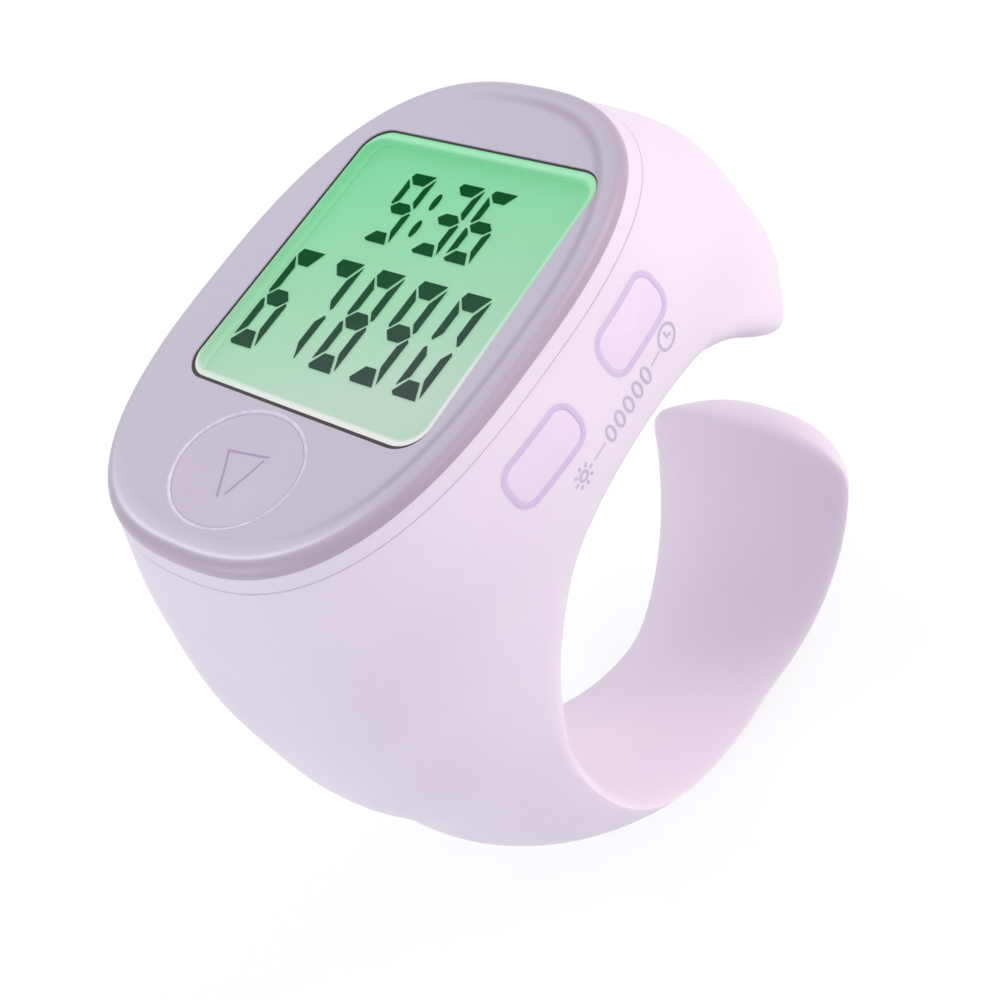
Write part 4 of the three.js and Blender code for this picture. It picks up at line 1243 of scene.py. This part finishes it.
replace(ring_body(), shell, "counter", "shell", "ring_body")
replace(head_frame(), shell, "counter", "shell", "head_frame")
replace(face_plate(), plate, "counter", "face", "face_plate")
replace(battery_door(), shell, "counter", "shell", "battery_door")
replace(window_lens(), window_clear, "counter", "window", "display_window")
settle(window_rim(), rim_highlight, "counter")
settle(window_gap_shade(), gap_shade_dark, "counter")
# The lining glows like the display, so the ledge shows no shade
settle(window_lining(), display_field, "counter")
count_figures = figures("count_figures", COUNT_ROW, COUNT_BOTTOM, COUNT_LEFT)
clock_figures = figures("clock_figures", CLOCK_ROW, CLOCK_BOTTOM, CLOCK_LEFT)
replace(count_figures, figure_dark, "counter", "display_dark", "lcd_segments")
settle(clock_figures, figure_dark, "counter")
replace(count_button(), button, "count_button", "button", "count_button")
settle(button_highlight_collar(), painted_highlight_line, "counter")
settle(button_mark(), button_line, "count_button")
for key in KEY_PLACES:
    replace(side_key(key), key_finish, key, "key", key)
    settle(key_gap_shade(key), gap_shade_tone, "counter")
for marks in label_marks():
    settle(marks, mark, "counter")

SWITCHES = ["count_switch", "clock_switch", "set_switch"]
CARRIED = [
    (display_field, ["lcd_front_glass", "lcd_rear_glass", "light_guide"]),
    (white_plastic, ["lcd_holder", "backlight_led_1", "backlight_led_2"]),
    (white_plastic, [f"{switch}_plunger" for switch in SWITCHES]),
    (black_plastic, ["controller_chip"] + [f"{switch}_case" for switch in SWITCHES]),
    (rubber, ["elastomer_connector"]),
    (board_green, ["circuit_board"]),
    (ceramic, [f"capacitor_{i}" for i in range(1, 5)]),
    (gold, ["positive_contact", "negative_contact"]),
    (steel, ["clock_crystal", "coin_cell", "door_screw_1", "door_screw_2"]),
    (steel, [f"board_screw_{i}" for i in range(1, 4)]),
]
for material, nodes in CARRIED:
    for node in nodes:
        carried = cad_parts[node]
        carried.data.materials.clear()
        carried.data.materials.append(material)


# Floor, light and background


def seen_directly(nodes, links):
    """1 for rays of the camera, of reflections and of clear stuff, and 0 for light that is bounced."""
    path = nodes.new("ShaderNodeLightPath")
    seen = path.outputs["Is Camera Ray"]
    for ray in ("Is Glossy Ray", "Is Transmission Ray"):
        either = nodes.new("ShaderNodeMath")
        either.operation = "MAXIMUM"
        links.new(seen, either.inputs[0])
        links.new(path.outputs[ray], either.inputs[1])
        seen = either.outputs[0]
    return seen


def shown_by_ray(nodes, links, output, bounced, direct):
    """Gives the output one shader for light that is bounced, and another for what is seen directly."""
    mixed = nodes.new("ShaderNodeMixShader")
    links.new(seen_directly(nodes, links), mixed.inputs[0])
    links.new(bounced.outputs[0], mixed.inputs[1])
    links.new(direct.outputs[0], mixed.inputs[2])
    links.new(mixed.outputs[0], output.inputs["Surface"])


def floor(size=2000.0, below=0.02):
    """A wide floor just below the band, nearly white where it is seen directly, with the shadow on it."""
    flat = np.array([[-size, -size], [size, -size], [size, size], [-size, size]])
    made = mesh_object("floor", level_ring(flat, -SOLE_DEPTH - below), [np.array([[0, 1, 2, 3]])])
    material = bpy.data.materials.new("floor")
    nodes, links = empty_tree(material)
    output = nodes.new("ShaderNodeOutputMaterial")
    plain = put(nodes.new("ShaderNodeBsdfDiffuse"), Color=(0.8, 0.8, 0.8, 1))
    shaded = put(nodes.new("ShaderNodeBsdfDiffuse"), Color=(0.4, 0.4, 0.4, 1))
    bright = put(nodes.new("ShaderNodeEmission"), Strength=0.68)
    both = nodes.new("ShaderNodeAddShader")
    links.new(shaded.outputs[0], both.inputs[0])
    links.new(bright.outputs[0], both.inputs[1])
    shown_by_ray(nodes, links, output, plain, both)
    made.data.materials.append(material)


def sky():
    """Soft, slightly blue light from all round, and white where the background is seen directly."""
    world = bpy.data.worlds.new("sky")
    bpy.context.scene.world = world
    nodes, links = empty_tree(world)
    output = nodes.new("ShaderNodeOutputWorld")
    soft = put(nodes.new("ShaderNodeBackground"), Color=(0.79, 0.86, 1.0, 1), Strength=0.646)
    white = put(nodes.new("ShaderNodeBackground"), Color=(1, 1, 1, 1), Strength=1.0)
    shown_by_ray(nodes, links, output, soft, white)


def lamp(name, place, power, size, colour=(1, 1, 1)):
    """A square lamp, in metres and watts, that faces the upper part of the finger hole."""
    data = bpy.data.lights.new(name, "AREA")
    data.energy = power
    data.color = colour
    data.size = size
    made = added(name, data)
    made.rotation_mode = "QUATERNION"
    made.rotation_quaternion = (-Vector(np.array(place) - np.array(LAMP_TARGET))).to_track_quat("-Z", "Y")
    made.location = place


floor()
sky()
lamp("key_lamp", (0.25, -0.22, 0.12), 0.53, 0.22, (1.0, 0.86, 0.8))
lamp("front_lamp", (0.05, -0.36, 0.1), 0.21, 0.22)
lamp("fill_lamp", (-0.3, 0.1, 0.1), 0.257, 0.2)
lamp("back_lamp", (0.1, 0.3, 0.22), 0.14, 0.2)
lamp("top_lamp", (0.0, 0.0, 0.35), 0.1, 0.3, (1.0, 0.9, 0.75))
bpy.context.scene.view_settings.view_transform = "Standard"
